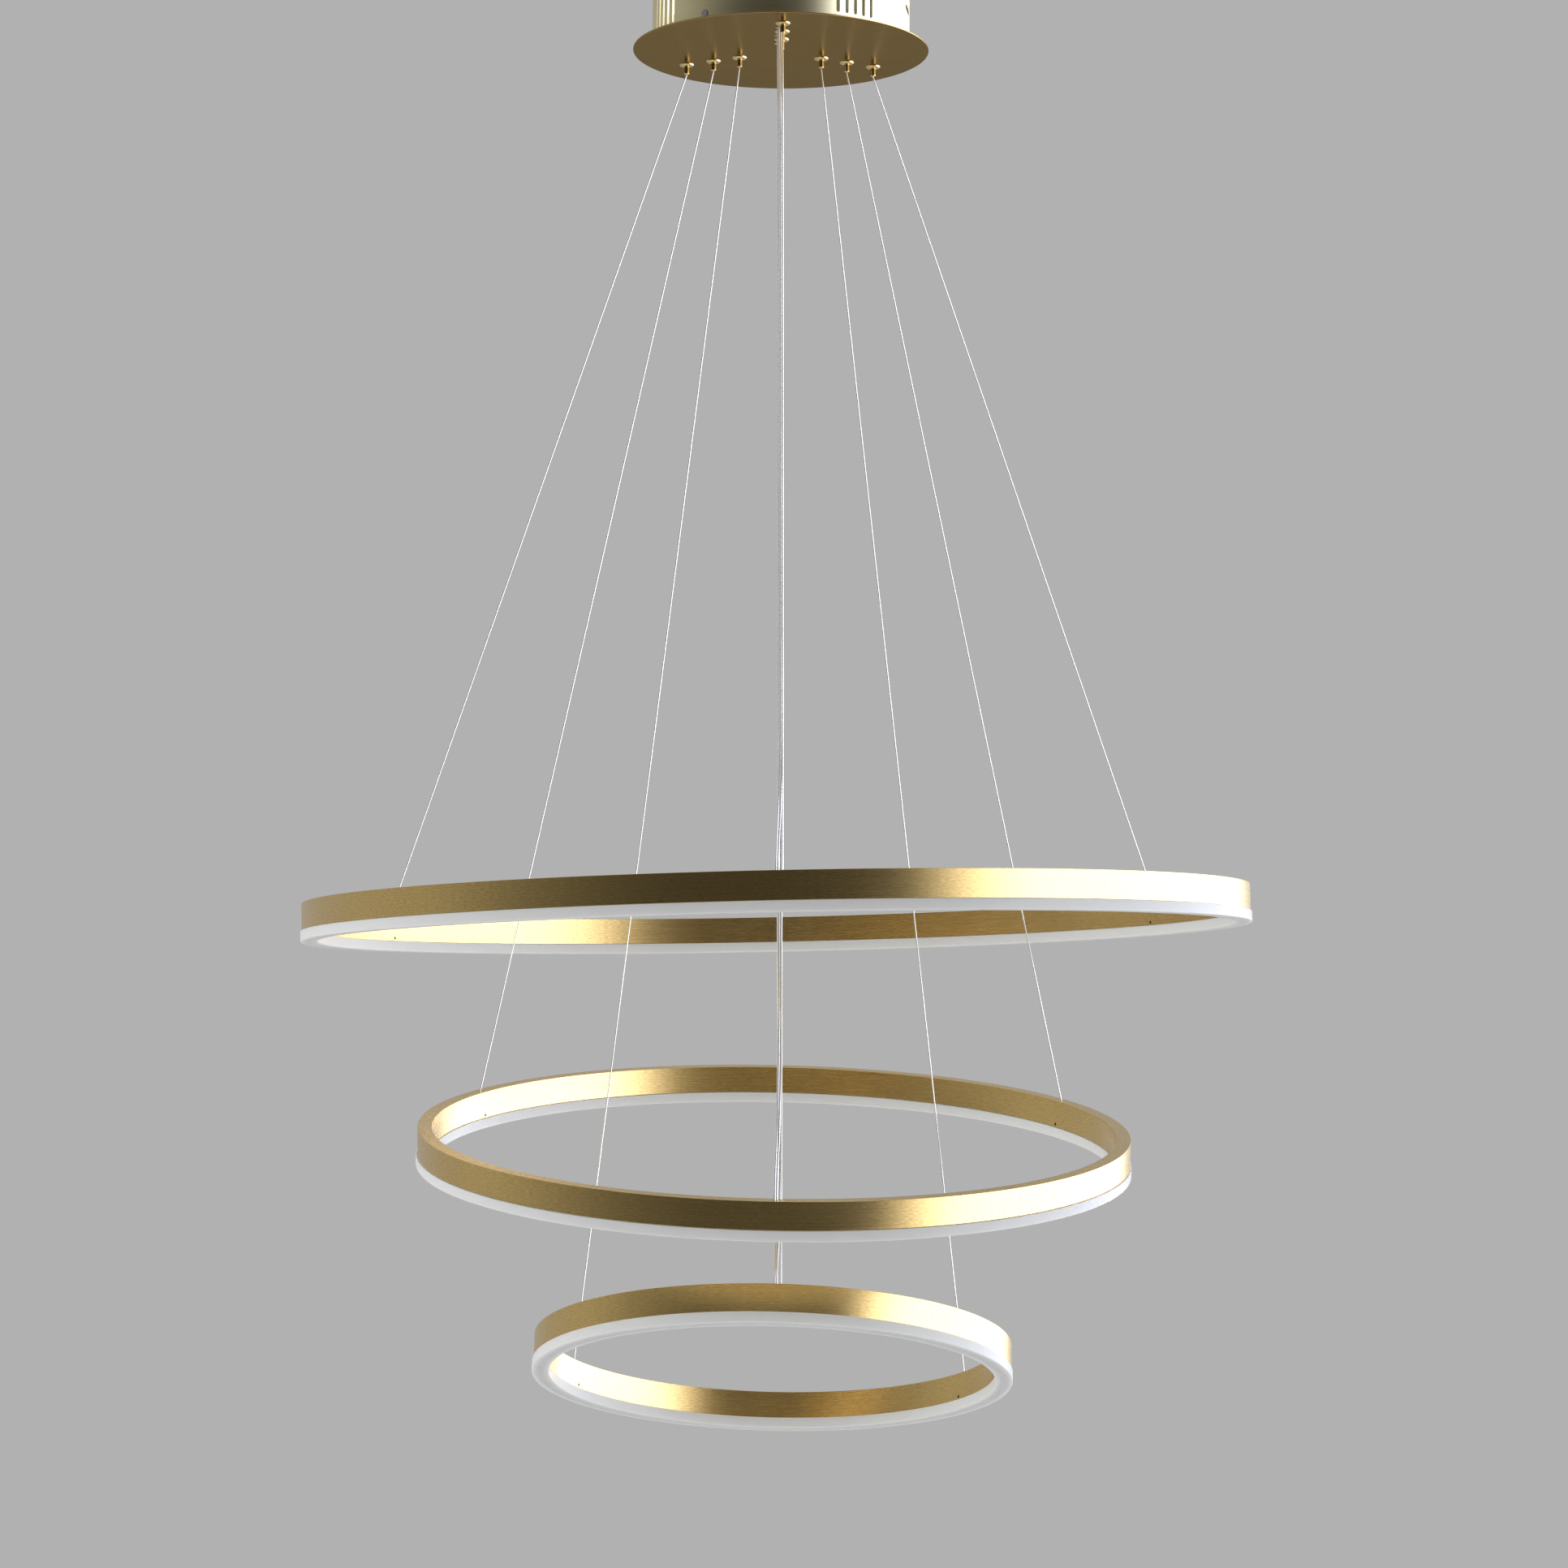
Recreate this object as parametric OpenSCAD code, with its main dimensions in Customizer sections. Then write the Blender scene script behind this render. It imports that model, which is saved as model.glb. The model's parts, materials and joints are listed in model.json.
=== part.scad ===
// Three-ring pendant light: a round ceiling canopy, nine height-adjustable steel
// wires and three tilted light rings. The origin is the ceiling plane on the
// canopy's axis, +Z is up and the front is -Y. All lengths are millimetres.

/* [Rings] */
// Outer radius of the upper ring
upper_r = 400; // [360:5:440]
// Outer radius of the middle ring
middle_r = 300; // [270:5:320]
// Outer radius of the lower ring
lower_r = 200; // [180:5:215]
// Width of a ring's section, from its outer wall to its inner wall
ring_w = 12; // [11:0.5:14]
// Height of the aluminium channel
profile_h = 23; // [22:0.5:30]
// Height of the diffuser that shows below the channel
diffuser_h = 9; // [6:0.5:12]
// Overhang of the diffuser past the channel's outer and inner walls
diffuser_lip = 1.2; // [0.4:0.1:2]
// Thickness of the channel's outer and inner walls
wall_t = 1.4; // [1:0.1:1.8]
// Thickness of the channel's top web
web_t = 1.6; // [1.2:0.1:2.4]
// Height of the closed wire chamber under the top web
chamber_h = 6.4; // [6:0.1:7]
// Thickness of the shelf that carries the light board
shelf_t = 1.4; // [1:0.1:2]

/* [Hanging] */
// Depth of the upper ring's top face below the canopy
upper_hang = 731; // [650:1:800]
// Depth of the middle ring's top face below the canopy
middle_hang = 927; // [880:1:980]
// Depth of the lower ring's top face below the canopy
lower_hang = 1106; // [1060:1:1200]
// Tilt of the upper ring, front down, in degrees
upper_tilt = 1.4; // [-2:0.1:4]
// Tilt of the middle ring, front down, in degrees
middle_tilt = 12.4; // [8:0.1:16]
// Tilt of the lower ring, front down, in degrees
lower_tilt = -14.6; // [-18:0.1:-10]
// Sideways lean of the upper ring, right side down, in degrees
upper_lean = -1.6; // [-3:0.1:3]
// Sideways lean of the middle ring, right side down, in degrees
middle_lean = 0.6; // [-3:0.1:3]
// Sideways lean of the lower ring, right side down, in degrees
lower_lean = 1.3; // [-3:0.1:3]
// Turn of the upper ring about its own axis, in degrees
upper_turn = -0.2; // [-3:0.1:3]
// Turn of the middle ring about its own axis, in degrees
middle_turn = 0.2; // [-3:0.1:3]
// Turn of the lower ring about its own axis, in degrees
lower_turn = 0.9; // [-3:0.1:3]
// Diameter of a suspension wire
wire_d = 1.2; // [1:0.1:1.4]

/* [Canopy] */
// Diameter of the canopy's cover plate
plate_d = 255; // [240:1:290]
// Thickness of the cover plate
plate_t = 1.2; // [1.1:0.1:2]
// Outer diameter of the drum above the plate
drum_d = 222; // [214:1:228]
// Height of the drum
drum_h = 76.8; // [70:0.1:100]
// Wall of the drum
drum_t = 0.8; // [0.7:0.1:2]
// Radius of the outermost ring of grippers
upper_grip_r = 94; // [92:0.5:96]
// Radius of the middle ring of grippers
middle_grip_r = 67; // [65:0.5:69]
// Radius of the innermost ring of grippers
lower_grip_r = 41; // [39:0.5:43]

/* [Vents] */
// Width of a vent slot
vent_w = 3.5; // [2:0.1:4]
// Height of a vent slot
vent_h = 40; // [20:1:50]
// Height of the slots' lower ends above the plate
vent_foot = 7; // [4:0.5:14]
// Slots in one group
vent_count = 5; // [3:1:6]
// Angle between neighbouring slots, in degrees
vent_pitch = 4.4; // [3:0.1:5]
// Angle of each group's middle from the canopy's side, in degrees
vent_middle_turn = 56.5; // [50:0.5:60]
// Angle of the other groups' middle from the canopy's side, in degrees
vent_back_turn = 24.5; // [20:0.5:30]

/* [Ceiling bracket] */
// Width of the bracket's strip
strip_w = 30; // [24:1:36]
// Thickness of the bracket's strip
strip_t = 2; // [1.5:0.1:3]
// Circle on which the two ceiling screws sit
ceiling_pcd = 90; // [70:1:120]
// Diameter of the two ceiling screw holes
ceiling_hole_d = 5.5; // [4:0.1:7]
// Angle of the bracket's strip from the front, in degrees
strip_turn = -36.5; // [-40:0.5:-33]
// Height of the side screws above the plate
side_screw_up = 7.5; // [7:0.5:16]

/* [Hidden] */

// The three rings, by number
upper = 0;
middle = 1;
lower = 2;
ring_r = [upper_r, middle_r, lower_r];
hang = [upper_hang, middle_hang, lower_hang];
tilt = [upper_tilt, middle_tilt, lower_tilt];
lean = [upper_lean, middle_lean, lower_lean];
turn = [upper_turn, middle_turn, lower_turn];
grip_r = [upper_grip_r, middle_grip_r, lower_grip_r];

full_turn = 360;
half_turn = 180;
quarter_turn = 90;
// Directions of a ring's three wires: front, right rear, left rear
wire_count = 3;
front_turn = 0;
right_rear_turn = full_turn / wire_count;
left_rear_turn = 2 * full_turn / wire_count;
rear_turns = [right_rear_turn, left_rear_turn];
wire_turns = [front_turn, right_rear_turn, left_rear_turn];

// Smoothness of large and small round faces
$fn = 96;
ring_fn = 240;
small_fn = 32;
hexagon_fn = 6;

// Length by which every cut runs past its face
overrun = 1;
// Clearance between pieces that are fixed together
fixed_gap = 0.1;

// Section of a ring, measured down from its top face
shelf_top = web_t + chamber_h;
channel_top = shelf_top + shelf_t;
anchor_inset = ring_w / 2;
diffuser_gap = 0.2;
diffuser_wall = 1.2;
diffuser_edge = 1;
leg_gap = 0.15;
leg_top_gap = 2.2;
board_t = 1.2;
board_side_gap = 0.4;
chip_w = 2.8;
chip_t = 0.8;
chip_pitch = 34;
joiner_length = 40;
grub_r = 1.25;
grub_hole_gap = 0.05;
grub_up = 2.5;
grub_recess = 0.2;
grub_socket_r = 0.7;
grub_socket_depth = 0.7;
leg_hole_gap = 0.15;

// Anchor of a wire in a ring's top web
anchor_ball_r = 1.5;
anchor_ball_up = 0.6;
anchor_hole_gap = 0.06;
anchor_stem_r = 0.9;
anchor_stem_drop = 4;
anchor_flange_r = 2.4;
anchor_flange_t = 0.8;
wire_end_gap = 0.05;
anchor_ball_down = web_t - anchor_ball_up;

// Gripper: heights are measured up from the plate's lower face
dome_r = 6.4;
dome_h = 2.5;
nipple_r = 2.3;
nipple_drop = 6;
nipple_fit = 0.08;
nipple_edge = 0.3;
wire_bore_gap = 0.3;
barrel_r = 4;
barrel_up = 14.5;
barrel_cap_t = 1.5;
mouth_up = 1.5;
chamber_r = 3;
neck_r = 2.45;
neck_up = 4.5;
cone_up = 9;
cone_r = 3.1;
shoulder_r = 2.8;
shoulder_gap = 0.1;
shoulder_t = 1.2;
pusher_r = 1.5;
pusher_up = 4.2;
ball_r = 1;
ball_up = 7;
ball_gap = 0.05;
ball_count = 3;
spring_r = 2.3;
spring_wire = 0.5;
spring_gap = 0.2;
barrel_hole_gap = 0.1;
nut_flats_r = 6.9;
nut_t = 3;
nut_gap = 0.1;
tail_up = 6;
upper_tail_up = 30;
middle_tail_up = 6;
lower_tail_up = 54;
wire_bend_drop = 0.9;
wire_bend_extra = 0.08;

// Canopy
disc_z = -(drum_h + plate_t);
plate_edge = 0.5;
drum_base_w = 10;
stud_r = 1.9;
stud_up = 6;
stud_inset = 5;
stud_count = 4;
stud_turns = [for (k = [0 : stud_count - 1]) (k + 1 / 2) * full_turn / stud_count];
stud_hole_gap = 0.2;
drum_nut_r = 4;
drum_nut_t = 2.4;
vent_groups = [quarter_turn - vent_middle_turn, quarter_turn + vent_back_turn,
  half_turn + quarter_turn - vent_middle_turn, half_turn + quarter_turn + vent_back_turn];
side_hole_r = 3.5;
side_head_r = 3.1;
side_head_t = 2;
side_shank_r = 1.95;
side_shank_gap = 0.05;
side_shank_in = 5;
key_turn = 77;
key_turns = [key_turn, key_turn + half_turn];
key_w = 5;
key_length = 15;
key_up = 30;
key_slope_turn = 15;
tab_w = 14;
tab_gap = 0.6;
tab_foot_gap = 3;

// Electrical pieces in the canopy
driver_reach = 66;
driver_turns = [half_turn, half_turn - right_rear_turn, half_turn + right_rear_turn];
upper_driver_length = 110;
middle_driver_length = 90;
lower_driver_length = 80;
driver_lengths = [upper_driver_length, middle_driver_length, lower_driver_length];
driver_w = 38;
driver_h = 27;
driver_edge = 2;
pad_t = 1;
pad_inset = 6;
block_length = 30;
block_w = 18;
block_h = 14;
block_peg_r = 2;
block_pole_count = 3;
block_pitch = 9;
block_entry_r = 2;
block_screw_r = 1.5;
block_screw_t = 1.2;
earth_reach = 32;
earth_r = 2;
earth_head_r = 4;
earth_head_t = 2.5;
earth_length = 5;
earth_washer_r = 5;
earth_washer_t = 1;

// Power cords: a flat twin cord each, beside the front wire
cord_w = 3.6;
cord_t = 1.8;
cord_sides = 8;
cord_slot_gap = 0.5;
cord_side = 4.4;
bushing_side = 2.2;
upper_bushing_reach = 80;
middle_bushing_reach = 54;
lower_bushing_reach = 28;
bushing_reaches = [upper_bushing_reach, middle_bushing_reach, lower_bushing_reach];
bushing_r = 3.2;
bushing_flange_r = 3.8;
bushing_flange_t = 0.8;
bushing_up = 6;
bushing_bore_gap = 0.4;

// Routes of the power cords, from inside the canopy down into each ring
upper_route = [
  [-2.2, -80, -62], [-2.2, -80, -76], [-2.2, -81, -88], [-2, -87, -100], [-1.6, -105, -130],
  [-1.2, -125.5, -170], [-1.2, -146, -220], [-1.4, -166.5, -270], [-1.4, -187, -320], [-1.6, -207.5, -370],
  [-1.8, -228, -420], [-1.8, -248.5, -470], [-1.8, -269, -520], [-2, -289.5, -570], [-2.2, -310, -620],
  [-2, -330.5, -670], [-2.4, -351, -720], [-3.6, -367.5, -760], [-5, -381, -790], [-5.6, -389.5, -806],
  [-5.8, -393.4, -814], [-5.8, -393.8, -820], [-5.8, -394, -828]];
middle_route = [
  [-2.2, -54, -62], [-2.2, -54, -76], [-2.2, -54.5, -88], [-2, -58, -102], [-1.6, -72.5, -130],
  [-1.2, -85.5, -180], [-1, -99, -240], [-0.8, -112.5, -300], [-0.8, -126, -360], [-0.6, -139.5, -420],
  [-0.8, -153, -480], [-0.8, -166.5, -540], [-0.6, -179.5, -600], [-0.4, -193, -660], [-0.4, -206.5, -720],
  [-0.6, -220, -780], [-0.6, -233.5, -840], [-0.4, -247, -900], [-0.6, -260, -960], [-1.6, -271.5, -1010],
  [-2.8, -280, -1040], [-3.4, -285.6, -1058], [-3.4, -287.2, -1068], [-3.4, -285.2, -1077]];
lower_route = [
  [-2.2, -28, -62], [-2.2, -28, -76], [-2.2, -28.5, -88], [-2, -32, -104], [-1.8, -44, -130],
  [-1.6, -52, -180], [-1.4, -60.5, -240], [-1, -69, -300], [-0.8, -77, -360], [-0.6, -85.5, -420],
  [-0.6, -94, -480], [-0.4, -102.5, -540], [-0.2, -111, -600], [0.2, -119.5, -660], [0.2, -127.5, -720],
  [0.2, -136, -780], [0.4, -144.5, -840], [0.8, -153, -900], [1, -161.5, -960], [1.2, -169.5, -1020],
  [0.6, -178, -1080], [-0.8, -183.5, -1112], [-1.4, -186, -1124], [-1.4, -187.8, -1135],
  [-1.6, -190, -1144]];
cord_routes = [upper_route, middle_route, lower_route];

// Position of a ring's own point (x, y, z) in the canopy's frame: the ring is
// turned, leaned and tilted about its centre, then lowered to its hanging depth
function turned(p, a) = [p.x * cos(a) - p.y * sin(a), p.x * sin(a) + p.y * cos(a), p.z];
function leaned(p, a) = [p.x * cos(a) + p.z * sin(a), p.y, -p.x * sin(a) + p.z * cos(a)];
function tilted(p, a) = [p.x, p.y * cos(a) - p.z * sin(a), p.y * sin(a) + p.z * cos(a)];
function placed(i, p) = tilted(leaned(turned(p, turn[i]), lean[i]), tilt[i]) + [0, 0, disc_z - hang[i]];
function around(r, a, z) = [r * sin(a), -r * cos(a), z];
function anchor_r(i) = ring_r[i] - anchor_inset;
function anchor_at(i, a) = placed(i, around(anchor_r(i), a, -anchor_ball_down));
function bend_at(i, a) = around(grip_r[i], a, disc_z - dome_h - nipple_drop - wire_bend_drop);

module at_ring(i) {
  translate([0, 0, disc_z - hang[i]]) rotate([tilt[i], 0, 0]) rotate([0, lean[i], 0])
    rotate([0, 0, turn[i]]) children();
}

// A straight round bar from point a to point b
module bar(a, b, r) {
  v = b - a;
  translate(a) rotate([0, acos(v.z / norm(v)), atan2(v.y, v.x)])
    cylinder(h = norm(v), r = r, $fn = small_fn);
}

// A box with its middle on the Z axis and its lower face at zero
module seated_box(size) {
  translate([-size.x / 2, -size.y / 2, 0]) cube(size);
}

// Ring channel: a closed wire chamber above an open channel, bent to a circle
module profile(i) {
  inner_r = ring_r[i] - ring_w;
  clear_w = ring_w - 2 * wall_t;
  at_ring(i) difference() {
    rotate_extrude($fn = ring_fn) difference() {
      translate([inner_r, -profile_h]) square([ring_w, profile_h]);
      translate([inner_r + wall_t, -shelf_top]) square([clear_w, chamber_h]);
      translate([inner_r + wall_t, -profile_h - overrun])
        square([clear_w, profile_h - channel_top + overrun]);
    }
    for (a = wire_turns) rotate([0, 0, a]) {
      translate([0, -anchor_r(i), -web_t - overrun])
        cylinder(h = web_t + 2 * overrun, r = anchor_ball_r + anchor_hole_gap, $fn = small_fn);
      translate([0, -inner_r + overrun, -profile_h + grub_up]) rotate([quarter_turn, 0, 0])
        cylinder(h = wall_t + 2 * overrun, r = grub_r + grub_hole_gap, $fn = small_fn);
    }
    translate([-cord_side, -anchor_r(i), -channel_top - overrun]) cord_slot(channel_top + 2 * overrun);
  }
}

// Upright slot with round ends for a flat cord
module cord_slot(h) {
  half_t = cord_t / 2 + cord_slot_gap;
  half_w = cord_w / 2 + cord_slot_gap;
  for (s = [-1, 1]) translate([s * (half_w - half_t), 0, 0]) cylinder(h = h, r = half_t, $fn = small_fn);
  translate([-(half_w - half_t), -half_t, 0]) cube([2 * (half_w - half_t), 2 * half_t, h]);
}

// Diffuser: a milky trough whose two legs stand in the channel
module diffuser(i) {
  inner_r = ring_r[i] - ring_w;
  leg_x = wall_t + leg_gap;
  leg_top = -channel_top - leg_top_gap;
  foot = -profile_h - diffuser_h;
  brow = -profile_h - diffuser_gap;
  side = inner_r - diffuser_lip;
  width = ring_w + 2 * diffuser_lip;
  at_ring(i) difference() {
    rotate_extrude($fn = ring_fn) difference() {
      union() {
        translate([side + diffuser_edge, foot]) square([width - 2 * diffuser_edge, brow - foot]);
        translate([side, foot + diffuser_edge]) square([width, brow - foot - diffuser_edge]);
        for (x = [diffuser_edge, width - diffuser_edge]) translate([side + x, foot + diffuser_edge])
          circle(r = diffuser_edge, $fn = small_fn);
        translate([inner_r + leg_x, brow - overrun]) square([ring_w - 2 * leg_x, leg_top - brow + overrun]);
      }
      translate([inner_r + leg_x + diffuser_wall, foot + diffuser_wall])
        square([ring_w - 2 * (leg_x + diffuser_wall), leg_top - foot]);
    }
    for (a = wire_turns) rotate([0, 0, a])
      translate([0, -inner_r - leg_x + leg_gap, -profile_h + grub_up]) rotate([quarter_turn, 0, 0])
        cylinder(h = diffuser_wall + leg_gap + overrun, r = grub_r + leg_hole_gap, $fn = small_fn);
  }
}

// Light board: a flat ring under the channel's shelf
module light_board(i) {
  inner_r = ring_r[i] - ring_w;
  side = wall_t + board_side_gap;
  at_ring(i) rotate_extrude($fn = ring_fn)
    translate([inner_r + side, -channel_top - board_t]) square([ring_w - 2 * side, board_t]);
}

// Light chips: small square lamps in one row under the board
module light_chips(i) {
  count = round(full_turn * anchor_r(i) * PI / half_turn / chip_pitch);
  at_ring(i) for (k = [0 : count - 1]) rotate([0, 0, full_turn * k / count])
    translate([0, -anchor_r(i), -channel_top - board_t - chip_t]) seated_box([chip_w, chip_w, chip_t]);
}

// Joiner: an arc-shaped block in the wire chamber that closes the bent channel
module joiner(i) {
  inner_r = ring_r[i] - ring_w;
  sweep = joiner_length * half_turn / (PI * anchor_r(i));
  side = wall_t + fixed_gap;
  at_ring(i) rotate([0, 0, -sweep / 2]) rotate_extrude(angle = sweep, $fn = ring_fn)
    translate([inner_r + side, -shelf_top + fixed_gap])
      square([ring_w - 2 * side, chamber_h - 2 * fixed_gap]);
}

// Grub screws: they pass the channel's inner wall and pin the diffuser's leg
module grub_screws(i) {
  inner_r = ring_r[i] - ring_w;
  length = wall_t + leg_gap + diffuser_wall - grub_recess;
  at_ring(i) for (a = wire_turns) rotate([0, 0, a])
    translate([0, -inner_r - grub_recess, -profile_h + grub_up]) rotate([quarter_turn, 0, 0]) difference() {
      cylinder(h = length, r = grub_r, $fn = small_fn);
      translate([0, 0, -overrun])
        cylinder(h = grub_socket_depth + overrun, r = grub_socket_r, $fn = hexagon_fn);
    }
}

// Wire anchor: a ball in the top web with a flanged stem in the wire chamber
module anchor(i, a) {
  at_ring(i) rotate([0, 0, a]) translate([0, -anchor_r(i), -anchor_ball_down]) {
    sphere(r = anchor_ball_r, $fn = small_fn);
    translate([0, 0, -anchor_stem_drop]) cylinder(h = anchor_stem_drop, r = anchor_stem_r, $fn = small_fn);
    translate([0, 0, -anchor_stem_drop - anchor_flange_t])
      cylinder(h = anchor_flange_t, r = anchor_flange_r, $fn = small_fn);
  }
}

// Suspension wire: straight from its anchor to the gripper, then up through it
module wire(i, a, tail) {
  low = anchor_at(i, a);
  high = bend_at(i, a);
  reach = norm(high - low);
  start = low + (high - low) * (anchor_ball_r + wire_end_gap) / reach;
  top = disc_z + barrel_up + tail;
  bar(start, high, wire_d / 2);
  translate(high) sphere(r = wire_d / 2 + wire_bend_extra, $fn = small_fn);
  translate(high) cylinder(h = top - high.z, r = wire_d / 2, $fn = small_fn);
}

// Flat cord: an oval section of a few sides, carried along the route's points
module cord(route) {
  last = len(route) - 1;
  across = [1, 0, 0];
  function along(k) = let (v = route[min(k + 1, last)] - route[max(k - 1, 0)]) v / norm(v);
  function rim(k) = let (n = cross(along(k), across), u = n / norm(n))
    [for (s = [0 : cord_sides - 1]) let (a = full_turn * (s + 1 / 2) / cord_sides)
      route[k] + across * cord_w / 2 * cos(a) + u * cord_t / 2 * sin(a)];
  points = [for (k = [0 : last]) each rim(k)];
  low_cap = [for (s = [cord_sides - 1 : -1 : 0]) s];
  high_cap = [for (s = [0 : cord_sides - 1]) last * cord_sides + s];
  sides = [for (k = [0 : last - 1], s = [0 : cord_sides - 1])
    let (t = (s + 1) % cord_sides, b = k * cord_sides, c = b + cord_sides)
    each [[b + s, b + t, c + t], [b + s, c + t, c + s]]];
  polyhedron(points = points, faces = concat([low_cap, high_cap], sides));
}

// Gripper body: a dome under the plate and a barrel through it, with a cone inside
module gripper_body() {
  difference() {
    rotate_extrude() union() {
      square([barrel_r, barrel_up]);
      intersection() {
        translate([0, -dome_h]) square([dome_r, dome_h]);
        translate([0, (dome_r * dome_r - dome_h * dome_h) / (2 * dome_h)])
          circle(r = (dome_r * dome_r + dome_h * dome_h) / (2 * dome_h));
      }
    }
    translate([0, 0, -dome_h - overrun])
      cylinder(h = dome_h + mouth_up + overrun, r = nipple_r + nipple_fit, $fn = small_fn);
    translate([0, 0, mouth_up]) cylinder(h = neck_up - mouth_up, r = chamber_r, $fn = small_fn);
    translate([0, 0, neck_up]) cylinder(h = cone_up - neck_up, r1 = neck_r, r2 = cone_r, $fn = small_fn);
    translate([0, 0, cone_up]) cylinder(h = barrel_up - barrel_cap_t - cone_up, r = cone_r, $fn = small_fn);
    cylinder(h = barrel_up + overrun, r = wire_d / 2 + wire_bore_gap, $fn = small_fn);
  }
}

// Plunger: the nipple that is pushed up to let the wire slide
module plunger(i, a) {
  foot = -dome_h - nipple_drop;
  shoulder_foot = mouth_up + shoulder_gap;
  translate(around(grip_r[i], a, disc_z)) color("gold") difference() {
    union() {
      translate([0, 0, foot + nipple_edge])
        cylinder(h = shoulder_foot - foot - nipple_edge, r = nipple_r, $fn = small_fn);
      translate([0, 0, foot])
        cylinder(h = nipple_edge, r1 = nipple_r - nipple_edge, r2 = nipple_r, $fn = small_fn);
      translate([0, 0, shoulder_foot]) cylinder(h = shoulder_t, r = shoulder_r, $fn = small_fn);
      translate([0, 0, shoulder_foot]) cylinder(h = pusher_up - shoulder_foot, r = pusher_r, $fn = small_fn);
    }
    translate([0, 0, foot - overrun])
      cylinder(h = pusher_up - foot + 2 * overrun, r = wire_d / 2 + wire_bore_gap, $fn = small_fn);
  }
}

// Places its children at every gripper
module at_grippers() {
  for (i = [upper, middle, lower], a = wire_turns)
    translate(around(grip_r[i], a, disc_z)) rotate([0, 0, a]) children();
}

module gripper_bodies() { color("gold") at_grippers() gripper_body(); }

module gripper_nuts() {
  color("gold") at_grippers() translate([0, 0, plate_t]) difference() {
    cylinder(h = nut_t, r = nut_flats_r, $fn = hexagon_fn);
    translate([0, 0, -overrun]) cylinder(h = nut_t + 2 * overrun, r = barrel_r + nut_gap, $fn = small_fn);
  }
}

module gripper_balls() {
  color("silver") at_grippers() for (k = [0 : ball_count - 1])
    rotate([0, 0, full_turn * k / ball_count])
      translate([wire_d / 2 + ball_r + ball_gap, 0, ball_up]) sphere(r = ball_r, $fn = small_fn);
}

module gripper_springs() {
  foot = ball_up + ball_r + spring_gap;
  height = barrel_up - barrel_cap_t - spring_gap - foot;
  color("silver") at_grippers() translate([0, 0, foot]) difference() {
    cylinder(h = height, r = spring_r, $fn = small_fn);
    translate([0, 0, -overrun])
      cylinder(h = height + 2 * overrun, r = spring_r - spring_wire, $fn = small_fn);
  }
}

// Cover plate: a disc with a rounded rim, gripper and cord holes
module canopy_plate() {
  rim_r = plate_d / 2;
  color("tan") translate([0, 0, disc_z]) difference() {
    rotate_extrude() union() {
      square([rim_r - plate_edge, plate_t]);
      translate([0, plate_edge]) square([rim_r, plate_t - 2 * plate_edge]);
      for (z = [plate_edge, plate_t - plate_edge]) translate([rim_r - plate_edge, z])
        circle(r = plate_edge, $fn = small_fn);
    }
    for (i = [upper, middle, lower]) {
      for (a = wire_turns) translate(around(grip_r[i], a, -overrun))
        cylinder(h = plate_t + 2 * overrun, r = barrel_r + barrel_hole_gap, $fn = small_fn);
      translate([-bushing_side, -bushing_reaches[i], -overrun])
        cylinder(h = plate_t + 2 * overrun, r = bushing_r + fixed_gap, $fn = small_fn);
    }
  }
}

// Studs welded on the plate, which pass the drum's base
module plate_studs() {
  color("tan") for (a = stud_turns) translate(around(drum_d / 2 - stud_inset, a, disc_z + plate_t))
    cylinder(h = stud_up, r = stud_r, $fn = small_fn);
}

// Drum: a thin tube with a base that turns inwards, vents and bayonet slots
module canopy_drum() {
  drum_r = drum_d / 2;
  foot = -drum_h;
  color("khaki") difference() {
    union() {
      rotate_extrude() {
        translate([drum_r - drum_t, foot]) square([drum_t, drum_h]);
        translate([drum_r - drum_base_w, foot]) square([drum_base_w, drum_t]);
      }
    }
    for (a = stud_turns) translate(around(drum_r - stud_inset, a, foot - overrun))
      cylinder(h = drum_t + 2 * overrun, r = stud_r + stud_hole_gap, $fn = small_fn);
    for (g = vent_groups, k = [0 : vent_count - 1])
      rotate([0, 0, g + (k - (vent_count - 1) / 2) * vent_pitch])
        translate([0, -drum_r + drum_t + overrun, foot + vent_foot]) vent_cut(vent_w, vent_h);
    for (a = [strip_turn, strip_turn + half_turn]) rotate([0, 0, a])
      translate([0, -drum_r + drum_t + overrun, foot + side_screw_up]) rotate([quarter_turn, 0, 0])
        cylinder(h = drum_t + 2 * overrun, r = side_hole_r, $fn = small_fn);
    for (a = key_turns) rotate([0, 0, a]) translate([0, -drum_r + drum_t + overrun, foot + key_up])
      rotate([0, quarter_turn + key_slope_turn, 0]) translate([0, 0, -key_length / 2])
        vent_cut(key_w, key_length);
  }
}

// Cutter for an upright slot with round ends, pointing forwards from its own origin
module vent_cut(w, h) {
  depth = drum_t + 2 * overrun;
  for (z = [w / 2, h - w / 2]) translate([0, 0, z]) rotate([quarter_turn, 0, 0])
    cylinder(h = depth, r = w / 2, $fn = small_fn);
  translate([-w / 2, -depth, w / 2]) cube([w, depth, h - w]);
}

module drum_nuts() {
  color("silver") for (a = stud_turns)
    translate(around(drum_d / 2 - stud_inset, a, drum_t - drum_h)) difference() {
      cylinder(h = drum_nut_t, r = drum_nut_r, $fn = hexagon_fn);
      translate([0, 0, -overrun])
        cylinder(h = drum_nut_t + 2 * overrun, r = stud_r + fixed_gap, $fn = small_fn);
    }
}

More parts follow.
